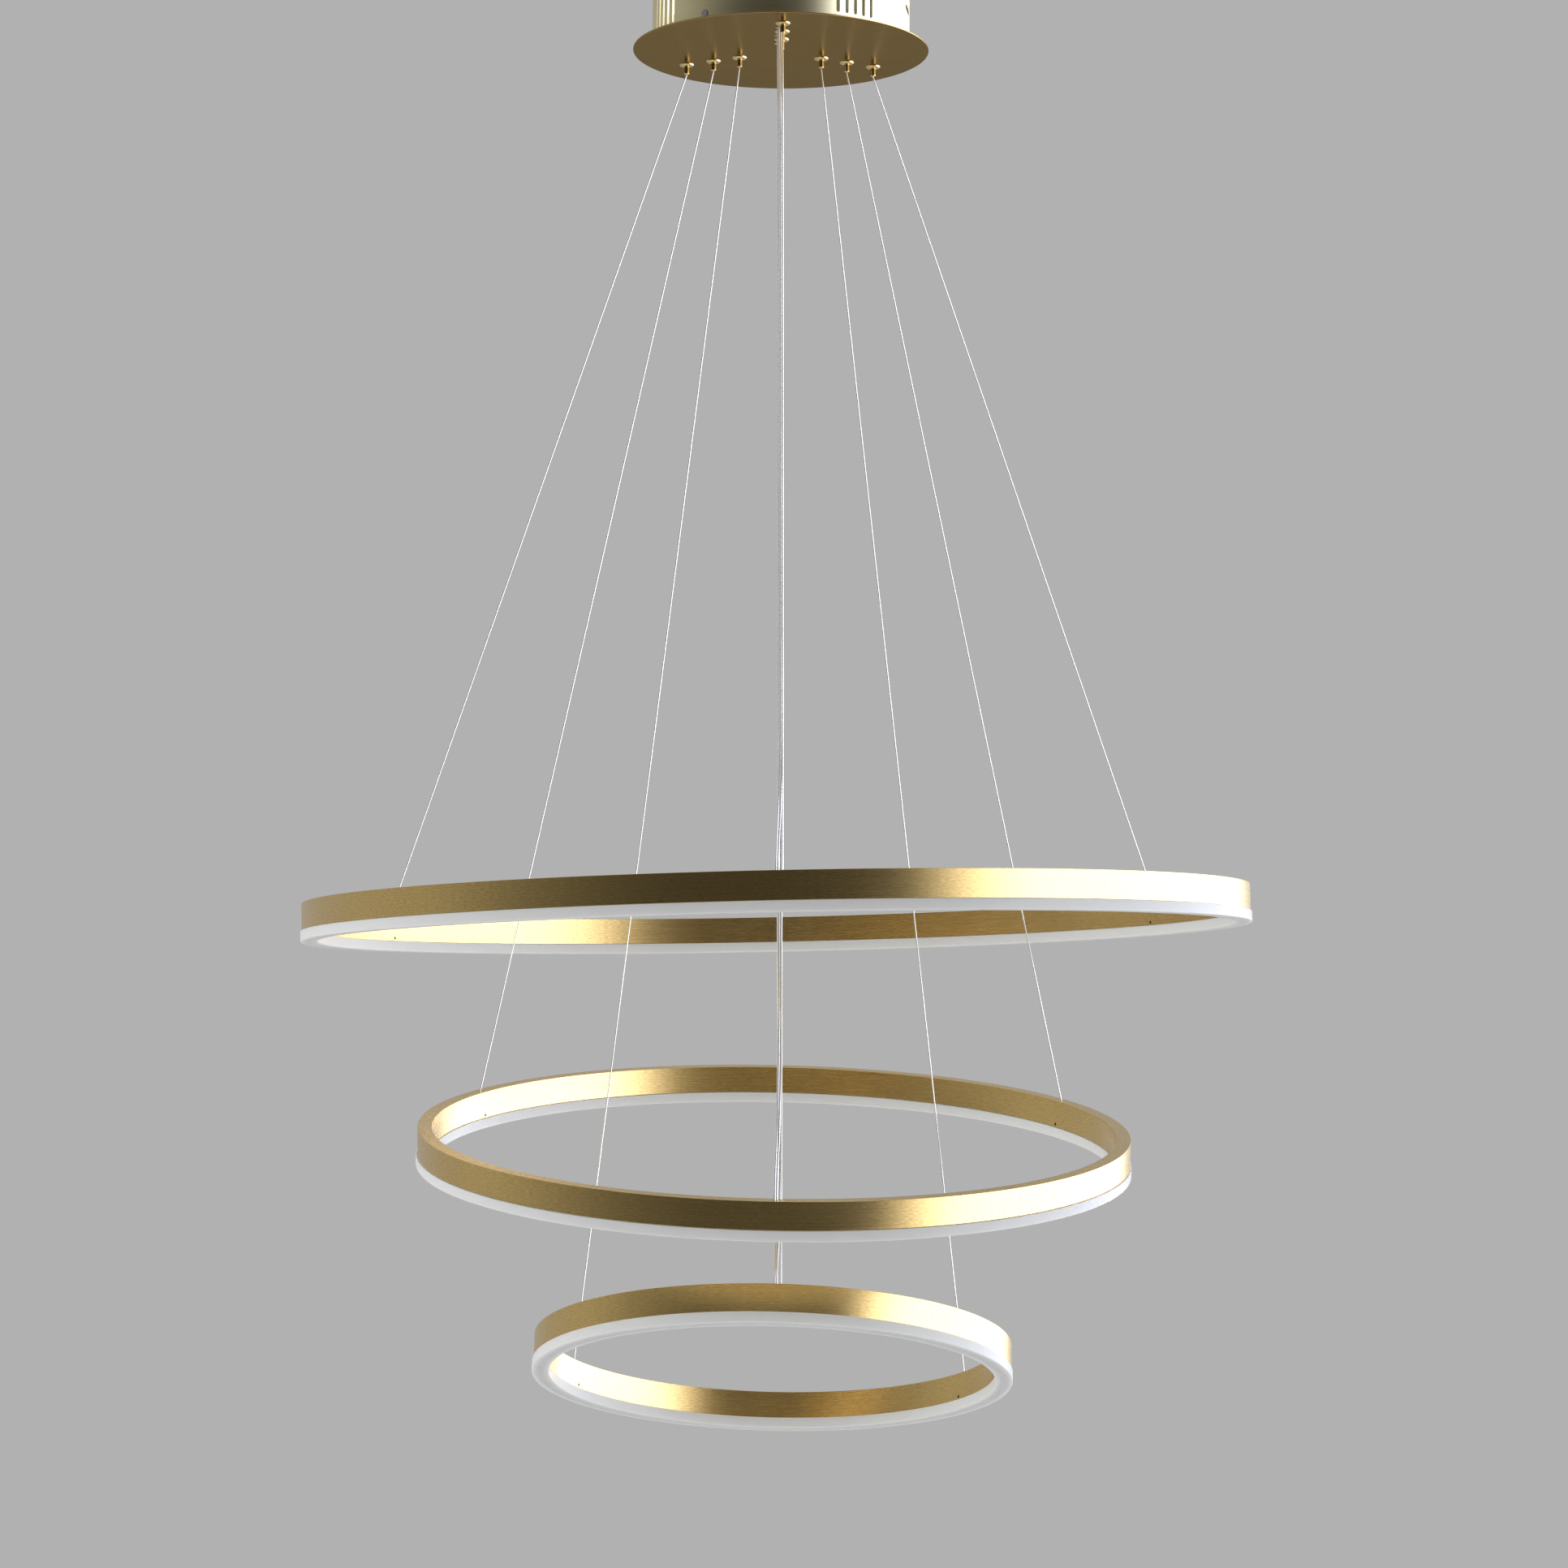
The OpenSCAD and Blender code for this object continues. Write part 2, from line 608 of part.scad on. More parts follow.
// Ceiling bracket: a strip against the ceiling with a tab down each side
module ceiling_bracket() {
  reach = drum_d / 2 - drum_t - tab_gap;
  tab_h = drum_h - drum_t - tab_foot_gap;
  color("silver") rotate([0, 0, strip_turn]) difference() {
    union() {
      translate([-strip_w / 2, -reach + strip_t, -strip_t]) cube([strip_w, 2 * (reach - strip_t), strip_t]);
      for (a = [0, half_turn]) rotate([0, 0, a]) translate([-tab_w / 2, -reach, -tab_h])
        cube([tab_w, strip_t, tab_h]);
    }
    for (s = [-1, 1]) translate([0, s * ceiling_pcd / 2, -strip_t - overrun])
      cylinder(h = strip_t + 2 * overrun, r = ceiling_hole_d / 2, $fn = small_fn);
    translate([0, 0, -strip_t - overrun])
      cylinder(h = strip_t + 2 * overrun, r = block_peg_r + fixed_gap, $fn = small_fn);
    translate([0, earth_reach, -strip_t - overrun])
      cylinder(h = strip_t + 2 * overrun, r = earth_r + fixed_gap, $fn = small_fn);
    for (a = [0, half_turn]) rotate([0, 0, a]) translate([0, -reach - overrun, side_screw_up - drum_h])
      rotate([-quarter_turn, 0, 0])
        cylinder(h = strip_t + 2 * overrun, r = side_shank_r + side_shank_gap, $fn = small_fn);
  }
}

module side_screws() {
  reach = drum_d / 2 - drum_t - tab_gap;
  color("silver") for (a = [strip_turn, strip_turn + half_turn]) rotate([0, 0, a])
    translate([0, -reach, side_screw_up - drum_h]) rotate([-quarter_turn, 0, 0]) {
      translate([0, 0, -side_head_t]) cylinder(h = side_head_t, r = side_head_r, $fn = small_fn);
      translate([0, 0, -side_head_t])
        cylinder(h = side_head_t + side_shank_in, r = side_shank_r, $fn = small_fn);
    }
}

module terminal_block() {
  color("white") rotate([0, 0, strip_turn]) translate([0, 0, -strip_t - block_h]) difference() {
    union() {
      translate([-block_w / 2, -block_length / 2, 0]) cube([block_w, block_length, block_h]);
      cylinder(h = block_h + strip_t, r = block_peg_r, $fn = small_fn);
    }
    for (k = [0 : block_pole_count - 1]) translate([0, (k - (block_pole_count - 1) / 2) * block_pitch, 0]) {
      translate([-block_w, 0, block_h / 2]) rotate([0, quarter_turn, 0])
        cylinder(h = 2 * block_w, r = block_entry_r, $fn = small_fn);
      translate([0, 0, -overrun])
        cylinder(h = block_h / 2 + overrun, r = block_screw_r + fixed_gap, $fn = small_fn);
    }
  }
}

module terminal_screws() {
  color("gold") rotate([0, 0, strip_turn]) for (k = [0 : block_pole_count - 1])
    translate([0, (k - (block_pole_count - 1) / 2) * block_pitch, -strip_t - block_h + block_screw_t])
      cylinder(h = block_h / 2 - block_entry_r - block_screw_t, r = block_screw_r, $fn = small_fn);
}

module earth_screw() {
  color("gold") rotate([0, 0, strip_turn]) translate([0, earth_reach, 0]) {
    translate([0, 0, -earth_length]) cylinder(h = earth_length, r = earth_r, $fn = small_fn);
    translate([0, 0, -strip_t - earth_washer_t])
      cylinder(h = earth_washer_t, r = earth_washer_r, $fn = small_fn);
    translate([0, 0, -strip_t - earth_washer_t - earth_head_t])
      cylinder(h = earth_head_t, r = earth_head_r, $fn = small_fn);
  }
}

// Driver: a box with bevelled upright corners on its pad
module driver(i) {
  length = driver_lengths[i];
  color("white") rotate([0, 0, driver_turns[i]]) translate([0, -driver_reach, disc_z + plate_t + pad_t])
    linear_extrude(driver_h) polygon([
      [-length / 2 + driver_edge, -driver_w / 2], [length / 2 - driver_edge, -driver_w / 2],
      [length / 2, -driver_w / 2 + driver_edge], [length / 2, driver_w / 2 - driver_edge],
      [length / 2 - driver_edge, driver_w / 2], [-length / 2 + driver_edge, driver_w / 2],
      [-length / 2, driver_w / 2 - driver_edge], [-length / 2, -driver_w / 2 + driver_edge]]);
}

module driver_pads() {
  color("gray") for (i = [upper, middle, lower]) rotate([0, 0, driver_turns[i]])
    translate([0, -driver_reach, disc_z + plate_t])
      seated_box([driver_lengths[i] - 2 * pad_inset, driver_w - 2 * pad_inset, pad_t]);
}

// Cord bushings: flanged sleeves in the plate, one for each power cord
module cord_bushings() {
  color("white") for (i = [upper, middle, lower])
    translate([-bushing_side, -bushing_reaches[i], disc_z - bushing_flange_t]) difference() {
      union() {
        cylinder(h = bushing_flange_t, r = bushing_flange_r, $fn = small_fn);
        cylinder(h = bushing_flange_t + bushing_up, r = bushing_r, $fn = small_fn);
      }
      translate([0, 0, -overrun])
        cylinder(h = bushing_flange_t + bushing_up + 2 * overrun,
          r = cord_w / 2 + bushing_bore_gap, $fn = small_fn);
    }
}

module upper_driver() { driver(upper); }
module middle_driver() { driver(middle); }
module lower_driver() { driver(lower); }

module upper_front_plunger() { plunger(upper, front_turn); }
module upper_right_plunger() { plunger(upper, right_rear_turn); }
module upper_left_plunger() { plunger(upper, left_rear_turn); }
module middle_front_plunger() { plunger(middle, front_turn); }
module middle_right_plunger() { plunger(middle, right_rear_turn); }
module middle_left_plunger() { plunger(middle, left_rear_turn); }
module lower_front_plunger() { plunger(lower, front_turn); }
module lower_right_plunger() { plunger(lower, right_rear_turn); }
module lower_left_plunger() { plunger(lower, left_rear_turn); }

module upper_profile() { color("goldenrod") profile(upper); }
module upper_diffuser() { color("white") diffuser(upper); }
module upper_light_board() { color("white") light_board(upper); }
module upper_light_chips() { color("khaki") light_chips(upper); }
module upper_joiner() { color("silver") joiner(upper); }
module upper_grub_screws() { color("dimgray") grub_screws(upper); }
module upper_rear_anchors() { color("gold") for (a = rear_turns) anchor(upper, a); }
module upper_front_anchor() { color("gold") anchor(upper, front_turn); }
module upper_rear_wires() { color("silver") for (a = rear_turns) wire(upper, a, tail_up); }
module upper_front_wire() { color("silver") wire(upper, front_turn, upper_tail_up); }
module upper_power_cord() { color("lightgray") cord(upper_route); }

module middle_profile() { color("goldenrod") profile(middle); }
module middle_diffuser() { color("white") diffuser(middle); }
module middle_light_board() { color("white") light_board(middle); }
module middle_light_chips() { color("khaki") light_chips(middle); }
module middle_joiner() { color("silver") joiner(middle); }
module middle_grub_screws() { color("dimgray") grub_screws(middle); }
module middle_rear_anchors() { color("gold") for (a = rear_turns) anchor(middle, a); }
module middle_front_anchor() { color("gold") anchor(middle, front_turn); }
module middle_rear_wires() { color("silver") for (a = rear_turns) wire(middle, a, tail_up); }
module middle_front_wire() { color("silver") wire(middle, front_turn, middle_tail_up); }
module middle_power_cord() { color("lightgray") cord(middle_route); }

module lower_profile() { color("goldenrod") profile(lower); }
module lower_diffuser() { color("white") diffuser(lower); }
module lower_light_board() { color("white") light_board(lower); }
module lower_light_chips() { color("khaki") light_chips(lower); }
module lower_joiner() { color("silver") joiner(lower); }
module lower_grub_screws() { color("dimgray") grub_screws(lower); }
module lower_rear_anchors() { color("gold") for (a = rear_turns) anchor(lower, a); }
module lower_front_anchor() { color("gold") anchor(lower, front_turn); }
module lower_rear_wires() { color("silver") for (a = rear_turns) wire(lower, a, tail_up); }
module lower_front_wire() { color("silver") wire(lower, front_turn, lower_tail_up); }
module lower_power_cord() { color("lightgray") cord(lower_route); }

canopy_plate();
plate_studs();
canopy_drum();
drum_nuts();
ceiling_bracket();
side_screws();
terminal_block();
terminal_screws();
earth_screw();
upper_driver();
middle_driver();
lower_driver();
driver_pads();
gripper_bodies();
gripper_nuts();
gripper_balls();
gripper_springs();
cord_bushings();
upper_front_plunger();
upper_right_plunger();
upper_left_plunger();
middle_front_plunger();
middle_right_plunger();
middle_left_plunger();
lower_front_plunger();
lower_right_plunger();
lower_left_plunger();
upper_profile();
upper_diffuser();
upper_light_board();
upper_light_chips();
upper_joiner();
upper_grub_screws();
upper_rear_anchors();
upper_front_anchor();
upper_rear_wires();
upper_front_wire();
upper_power_cord();
middle_profile();
middle_diffuser();
middle_light_board();
middle_light_chips();
middle_joiner();
middle_grub_screws();
middle_rear_anchors();
middle_front_anchor();
middle_rear_wires();
middle_front_wire();
middle_power_cord();
lower_profile();
lower_diffuser();
lower_light_board();
lower_light_chips();
lower_joiner();
lower_grub_screws();
lower_rear_anchors();
lower_front_anchor();
lower_rear_wires();
lower_front_wire();
lower_power_cord();
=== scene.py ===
import json
import math
from dataclasses import dataclass

import bmesh
import bpy
import numpy as np
from mathutils import Matrix, Vector


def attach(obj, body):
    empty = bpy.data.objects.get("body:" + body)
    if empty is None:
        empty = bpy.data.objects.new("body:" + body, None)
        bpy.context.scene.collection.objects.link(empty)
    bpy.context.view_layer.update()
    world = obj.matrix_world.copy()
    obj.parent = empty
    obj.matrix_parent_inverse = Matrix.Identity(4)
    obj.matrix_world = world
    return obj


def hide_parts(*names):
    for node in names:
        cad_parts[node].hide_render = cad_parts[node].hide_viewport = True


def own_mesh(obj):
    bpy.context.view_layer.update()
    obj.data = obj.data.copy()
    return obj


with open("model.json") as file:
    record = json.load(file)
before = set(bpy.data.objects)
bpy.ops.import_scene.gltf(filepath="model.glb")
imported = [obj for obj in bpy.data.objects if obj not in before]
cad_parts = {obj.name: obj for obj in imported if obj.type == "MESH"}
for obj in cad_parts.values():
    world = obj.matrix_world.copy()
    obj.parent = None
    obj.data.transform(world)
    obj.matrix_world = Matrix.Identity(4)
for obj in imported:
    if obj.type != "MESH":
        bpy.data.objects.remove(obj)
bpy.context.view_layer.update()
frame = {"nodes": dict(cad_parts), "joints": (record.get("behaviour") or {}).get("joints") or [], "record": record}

# All sizes are in metres, as the frame has them, and angles in degrees
MM = 0.001
CUT_OVER = 1 * MM
HOLE_GAP = 0.1 * MM

# Ring section: the channel, its wire chamber and its holes
RING_W = 12 * MM
CHANNEL_H = 23 * MM
WALL_T = 1.4 * MM
WEB_T = 1.6 * MM
CHAMBER_H = 6.4 * MM
SHELF_T = 1.4 * MM
CHANNEL_TOP_EDGE = 0.35 * MM
CHANNEL_FOOT_EDGE = 0.2 * MM
CHANNEL_INNER_EDGE = 0.12 * MM
GRUB_R = 1.3 * MM
GRUB_UP = 2.5 * MM
GRUB_OVER = 0.6 * MM
ANCHOR_HOLE_R = 1.56 * MM
ANCHOR_DOWN = 1.0 * MM
ANCHOR_BALL_R = 1.5 * MM

# Where each ring's bent channel and diffuser close, and how wide and deep that joint's line is
SEAM_TURN = 90
SEAM_MOUTH = 0.12 * MM
CHANNEL_SEAM = 0.12 * MM
DIFFUSER_SEAM = 0.08 * MM

# Diffuser: a trough with two legs up in the channel
DIFFUSER_H = 9 * MM
DIFFUSER_LIP = 1.2 * MM
DIFFUSER_GAP = 0.2 * MM
DIFFUSER_WALL = 1.2 * MM
LEG_GAP = 0.15 * MM
LEG_TOP_GAP = 2.2 * MM
BROW_EDGE = 0.2 * MM
BROW_CORNER = 0.1 * MM
LEG_EDGE = 0.2 * MM
TROUGH_EDGE = 0.5 * MM
DIFFUSER_EDGE = 1.0 * MM

# Wires, which slant from a ring to a gripper, and flat twin cords
WIRE_R = 0.6 * MM
WIRE_STEP = 1 * MM
WIRE_BEND_DROP = 0.9 * MM
WIRE_BEND_NEAR = 0.25 * MM
WIRE_BEND_FAR = 0.8 * MM
WIRE_IN_BALL_SHARE = 0.9
STRANDS = 6
STRAND_LAY = 9 * MM
STRAND_GAP_SHARE = 0.97
TAIL_UP = 6 * MM
WIRE_TURNS = {"front": 0, "right": 120, "left": 240}
CORD_W = 3.6 * MM
CORD_T = 1.8 * MM
CORD_STEP = 3 * MM
CORD_WEB_SHARE = 0.55
CORD_CORE_SHARE = 0.24
CORD_SIDE = 4.4 * MM
CORD_SLOT_GAP = 0.5 * MM

# Canopy: the cover plate and the drum on it
PLATE_R = 127.5 * MM
PLATE_T = 1.2 * MM
PLATE_EDGE = 0.5 * MM
DRUM_R = 111 * MM
DRUM_T = 0.8 * MM
DRUM_H = 76.8 * MM
DRUM_BASE_W = 10 * MM
DRUM_EDGE = 0.25 * MM
DRUM_BEND = 0.6 * MM
DRUM_FOLD = 0.4 * MM
DRUM_CUT_REACH = 4 * MM
DISC_Z = -(DRUM_H + PLATE_T)
VENT_W, VENT_H, VENT_FOOT = 3.5 * MM, 40 * MM, 7 * MM
VENT_PITCH, VENT_GROUPS, VENT_STEPS = 4.4, [33.5, 114.5, 213.5, 294.5], range(-2, 3)
STUD_TURNS, STUD_INSET, STUD_HOLE_R = [45, 135, 225, 315], 5 * MM, 2.1 * MM
SIDE_TURNS, SIDE_HOLE_R, SIDE_UP = [-36.5, 143.5], 3.5 * MM, 7.5 * MM
KEY_TURNS, KEY_W, KEY_LENGTH, KEY_UP, KEY_SLOPE = [77, 257], 5 * MM, 15 * MM, 30 * MM, 15
BUSHING_SIDE = 2.2 * MM
BUSHING_REACHES = [80 * MM, 54 * MM, 28 * MM]
BUSHING_R = 3.2 * MM

# Gripper body: heights are above the plate's underside
DOME_R = 6.4 * MM
DOME_H = 2.5 * MM
DOME_LIP = 0.15 * MM
DOME_LIP_UP = 0.12 * MM
DOME_LIP_EASE = (0.05 * MM, 0.03 * MM)
DOME_RIM_TURN = 84
DOME_RIM_EASE = 0.03 * MM
DOME_RIM_SHARE = 0.35
DOME_RIM_DOWN = 0.01 * MM
DOME_RIM_BACK = 0.02 * MM
BARREL_R = 4 * MM
BARREL_UP = 14.5 * MM
BARREL_CAP = 1.5 * MM
BARREL_CHAMFER = 0.4 * MM
BARREL_BORE = 0.9 * MM
SHANK_UP = 3.2 * MM
THREAD_UP = 3.5 * MM
THREAD_END = 0.6 * MM
THREAD_STEP = 0.25 * MM
THREAD_DEPTH = 0.18 * MM
SPRING_BORE = 3.1 * MM
CONE_UP = 9 * MM
NECK_UP = 4.5 * MM
NECK_R = 2.45 * MM
POCKET_R = 3 * MM
MOUTH_UP = 1.5 * MM

# Nipple of a gripper
NIPPLE_R = 2.3 * MM
NIPPLE_GAP = 0.08 * MM
NIPPLE_DROP = 6 * MM
NIPPLE_BORE = 0.9 * MM
NIPPLE_LIP = 0.3 * MM
NIPPLE_EDGE = 0.45 * MM
NIPPLE_STRAIGHT = 1 * MM
SHOULDER_GAP = 0.1 * MM
SHOULDER_R = 2.8 * MM
SHOULDER_H = 1.2 * MM
STEM_R = 1.5 * MM
STEM_UP = 4.2 * MM

# Facets of the round pieces and steps of their outlines, and how meshes are cleaned and shaded
RING_SEGMENTS = 480
CHAMBER_SEGMENTS = 120
PLATE_SEGMENTS = 192
DRUM_SEGMENTS = 256
GRIPPER_SEGMENTS = 48
NIPPLE_SEGMENTS = 40
CORE_SIDES = 10
ROUND_STEPS = 4
DIFFUSER_STEPS = 5
PLATE_STEPS = 12
PLATE_RIM_STEPS = 13
DOME_STEPS = 14
NIPPLE_LIP_STEPS = 6
NIPPLE_EDGE_STEPS = 8
SPLINE_STEPS = 12
ROUND_SUPPORT = 0.3 * MM
MERGE_DISTANCE = 1e-7
SLIVER_DISTANCE = 1e-8
SHARP_ANGLE = 40
GRIPPER_SHARP = 50
ROPE_SHARP = 75
NEARLY_ZERO = 1e-9


@dataclass
class Ring:
    """One light ring: its outer radius, hanging depth, angles in degrees, the radius at which its
    grippers sit on the plate, and how far its front wire stands up out of its gripper."""
    name: str
    radius: float
    hang: float
    tilt: float
    lean: float
    turn: float
    grip_r: float
    front_tail: float

    def placed(self, points):
        """Turns, leans and tilts a ring's own points about its centre, then lowers them to its depth."""
        move = (Matrix.Rotation(math.radians(self.tilt), 3, "X")
                @ Matrix.Rotation(math.radians(self.lean), 3, "Y")
                @ Matrix.Rotation(math.radians(self.turn), 3, "Z"))
        return np.asarray(points) @ np.array(move).T + [0, 0, DISC_Z - self.hang]

    def anchor(self, where):
        """Middle of the anchor ball of one of the ring's wires."""
        return self.placed(around(self.radius - RING_W / 2, WIRE_TURNS[where], -ANCHOR_DOWN))

    def bend(self, where):
        """Point under a gripper's nipple where the wire starts to slant."""
        return around(self.grip_r, WIRE_TURNS[where], DISC_Z - DOME_H - NIPPLE_DROP - WIRE_BEND_DROP)


def around(radius, degrees, height):
    """Point at a radius and height, at an angle from the front (-Y) towards +X."""
    angle = math.radians(degrees)
    return np.array([radius * math.sin(angle), -radius * math.cos(angle), height])


RINGS = [
    Ring("upper", 400 * MM, 731 * MM, 1.4, -1.6, -0.2, 94 * MM, 30 * MM),
    Ring("middle", 300 * MM, 927 * MM, 12.4, 0.6, 0.2, 67 * MM, 6 * MM),
    Ring("lower", 200 * MM, 1106 * MM, -14.6, 1.3, 0.9, 41 * MM, 54 * MM),
]

# Routes of the power cords in millimetres, from inside the canopy down into each ring
CORD_ROUTES = {
    "upper": [
        [-2.2, -80, -62], [-2.2, -80, -76], [-2.2, -81, -88], [-2, -87, -100], [-1.6, -105, -130],
        [-1.2, -125.5, -170], [-1.2, -146, -220], [-1.4, -166.5, -270], [-1.4, -187, -320],
        [-1.6, -207.5, -370], [-1.8, -228, -420], [-1.8, -248.5, -470], [-1.8, -269, -520],
        [-2, -289.5, -570], [-2.2, -310, -620], [-2, -330.5, -670], [-2.4, -351, -720],
        [-3.6, -367.5, -760], [-5, -381, -790], [-5.6, -389.5, -806], [-5.8, -393.4, -814],
        [-5.8, -393.8, -820], [-5.8, -394, -828]],
    "middle": [
        [-2.2, -54, -62], [-2.2, -54, -76], [-2.2, -54.5, -88], [-2, -58, -102], [-1.6, -72.5, -130],
        [-1.2, -85.5, -180], [-1, -99, -240], [-0.8, -112.5, -300], [-0.8, -126, -360],
        [-0.6, -139.5, -420], [-0.8, -153, -480], [-0.8, -166.5, -540], [-0.6, -179.5, -600],
        [-0.4, -193, -660], [-0.4, -206.5, -720], [-0.6, -220, -780], [-0.6, -233.5, -840],
        [-0.4, -247, -900], [-0.6, -260, -960], [-1.6, -271.5, -1010], [-2.8, -280, -1040],
        [-3.4, -285.6, -1058], [-3.4, -287.2, -1068], [-3.4, -285.2, -1077]],
    "lower": [
        [-2.2, -28, -62], [-2.2, -28, -76], [-2.2, -28.5, -88], [-2, -32, -104], [-1.8, -44, -130],
        [-1.6, -52, -180], [-1.4, -60.5, -240], [-1, -69, -300], [-0.8, -77, -360], [-0.6, -85.5, -420],
        [-0.6, -94, -480], [-0.4, -102.5, -540], [-0.2, -111, -600], [0.2, -119.5, -660],
        [0.2, -127.5, -720], [0.2, -136, -780], [0.4, -144.5, -840], [0.8, -153, -900], [1, -161.5, -960],
        [1.2, -169.5, -1020], [0.6, -178, -1080], [-0.8, -183.5, -1112], [-1.4, -186, -1124],
        [-1.4, -187.8, -1135], [-1.6, -190, -1144]],
}

# Camera at the photograph's viewing angle, found from the rings' outlines
CAMERA_PLACE = (-0.0648, -3.8735, DISC_Z - 1.0222)
CAMERA_YAW, CAMERA_PITCH, CAMERA_ROLL = -1.054, 5.702, -0.341
CAMERA_FOCAL_PX = 5645.7
CAMERA_CLIP = (0.05, 200)
PHOTO_PX = 1932
SENSOR = 36

# Floor: its height and tone, and the two distances between which it thins out
FLOOR_Z = -2.6
FLOOR_TONE = 0.95
FLOOR_FADE = (1.0, 2.8)

# Surroundings: strengths of the plain light, of the background and of what metal mirrors in front
# and at the right, and the slopes between them along the ray's direction
ROOM_DIFFUSE = 0.46
BACKGROUND = 0.44
ROOM_FRONT = 0.05
BACK_SLOPE = (-1.0, 0.35)
ROOM_RIGHT = 3.2
WINDOW_SLOPE = (0.44, 0.82)
WINDOW_LEAN = 0.12
WINDOW_TINT = (0.92, 0.98, 1.3)
WHITE = (1, 1, 1, 1)


@dataclass
class Lamp:
    """A rectangular soft box: its place, the height of what it aims at on the light's axis, its
    width and height, its brightness, and whether metal mirrors it."""
    name: str
    place: tuple
    aim: float
    size: tuple
    glow: float
    mirrored: bool


LAMPS = [
    Lamp("window_side", (2.2, 0.65, -0.85), -0.85, (5.1, 2.2), 1.2, False),
    Lamp("fill_side", (-2.6, 0.2, -0.8), -0.8, (4.0, 2.6), 1.2, False),
    Lamp("overhead", (0.2, 0.7, 2.2), -0.7, (2.2, 2.2), 0.6, True),
]


def add_object(name, data):
    """New object at the origin, in the scene."""
    made = bpy.data.objects.new(name, data)
    bpy.context.scene.collection.objects.link(made)
    return made


def make_camera():
    """Camera with the photograph's place, direction and focal length, without any shift."""
    data = bpy.data.cameras.new("camera")
    data.sensor_width = SENSOR
    data.lens = CAMERA_FOCAL_PX / PHOTO_PX * SENSOR
    data.clip_start, data.clip_end = CAMERA_CLIP
    camera = add_object("camera", data)
    turn = (Matrix.Rotation(math.radians(CAMERA_YAW), 4, "Z")
            @ Matrix.Rotation(math.radians(CAMERA_PITCH), 4, "X")
            @ Matrix.Rotation(math.radians(CAMERA_ROLL), 4, "Y")
            @ Matrix.Rotation(math.radians(90), 4, "X"))
    camera.matrix_world = Matrix.Translation(Vector(CAMERA_PLACE)) @ turn
    bpy.context.scene.camera = camera


class Value:
    """A shader socket that takes part in Python sums and products through Math nodes."""

    def __init__(self, shader, socket):
        self.shader, self.socket = shader, socket

    def _math(self, operation, first, second):
        return self.shader.node("ShaderNodeMath", {"operation": operation}, {0: first, 1: second})

    def __add__(self, other):
        return self._math("ADD", self, other)

    def __radd__(self, other):
        return self._math("ADD", other, self)

    def __sub__(self, other):
        return self._math("SUBTRACT", self, other)

    def __rsub__(self, other):
        return self._math("SUBTRACT", other, self)

    def __mul__(self, other):
        return self._math("MULTIPLY", self, other)

    def __rmul__(self, other):
        return self._math("MULTIPLY", other, self)


class Shader:
    """A node tree that is written as expressions: node() adds any node but the sums of Value."""

    def __init__(self, tree):
        self.tree = tree

    def join(self, value, target):
        """Gives a socket a link, or a constant."""
        if isinstance(value, Value):
            self.tree.links.new(value.socket, target)
        else:
            target.default_value = value

    def node(self, kind, settings=None, sockets=None, output=0):
        """Adds a node: its settings first, a ramp's stops among them, then its sockets."""
        made = self.tree.nodes.new(kind)
        for name, value in (settings or {}).items():
            if name == "stops":
                while len(made.color_ramp.elements) < len(value):
                    made.color_ramp.elements.new(1)
                for element, (place, color) in zip(made.color_ramp.elements, value):
                    element.position = place
                    element.color = (*color, 1)
            else:
                setattr(made, name, value)
        for name, value in (sockets or {}).items():
            self.join(value, made.inputs[name])
        return Value(self, made.outputs[output])

    def slope(self, value, ends, low=0.0, high=1.0):
        """Rises smoothly from low to high as the value goes from one end to the other."""
        return self.node("ShaderNodeMapRange", {"interpolation_type": "SMOOTHSTEP"}, {
            "Value": value, "From Min": ends[0], "From Max": ends[1], "To Min": low, "To Max": high})


class Finish(Shader):
    """A material: constants sit on the shader's own sockets, and patterns are linked to them."""

    def __init__(self, name, color, roughness, metallic=0.0, **constants):
        self.material = bpy.data.materials.new(name)
        self.material.use_nodes = True
        super().__init__(self.material.node_tree)
        self.principled = self.tree.nodes["Principled BSDF"]
        self.color = color
        self.set("Base Color", (*color, 1))
        self.set("Roughness", roughness)
        self.set("Metallic", metallic)
        for socket, value in constants.items():
            self.set(socket.replace("_", " ").title().replace("Ior", "IOR"), value)

    def set(self, socket, value):
        """Gives one of the shader's sockets a number, a colour or a link."""
        self.join(value, self.principled.inputs[socket])

    def place(self, stretch=(1, 1, 1), flat=False):
        """Object coordinates, or the piece's own UV map, scaled for each axis."""
        where = self.node("ShaderNodeTexCoord", output="UV" if flat else "Object")
        return self.node("ShaderNodeMapping", {}, {"Vector": where, "Scale": stretch})

    def noise(self, where, scale=1.0, detail=3, roughness=0.5):
        """Noise around one half."""
        return self.node("ShaderNodeTexNoise", {}, {
            "Vector": where, "Scale": scale, "Detail": detail, "Roughness": roughness})

    def tone(self, factor, dark, light, reach=(0.3, 0.7)):
        """Base colour between a darker and a lighter share of the finish's own colour, as the factor
        goes over its reach."""
        low = tuple(channel * dark for channel in self.color)
        high = tuple(min(1, channel * light) for channel in self.color)
        stops = ((reach[0], low), (reach[1], high))
        self.set("Base Color", self.node("ShaderNodeValToRGB", {"stops": stops}, {"Fac": factor}))

    def bump(self, height, distance):
        """Raises the surface by a height pattern, of the given depth in metres."""
        self.set("Normal", self.node("ShaderNodeBump", {}, {
            "Height": height, "Distance": distance, "Strength": 1.0}))


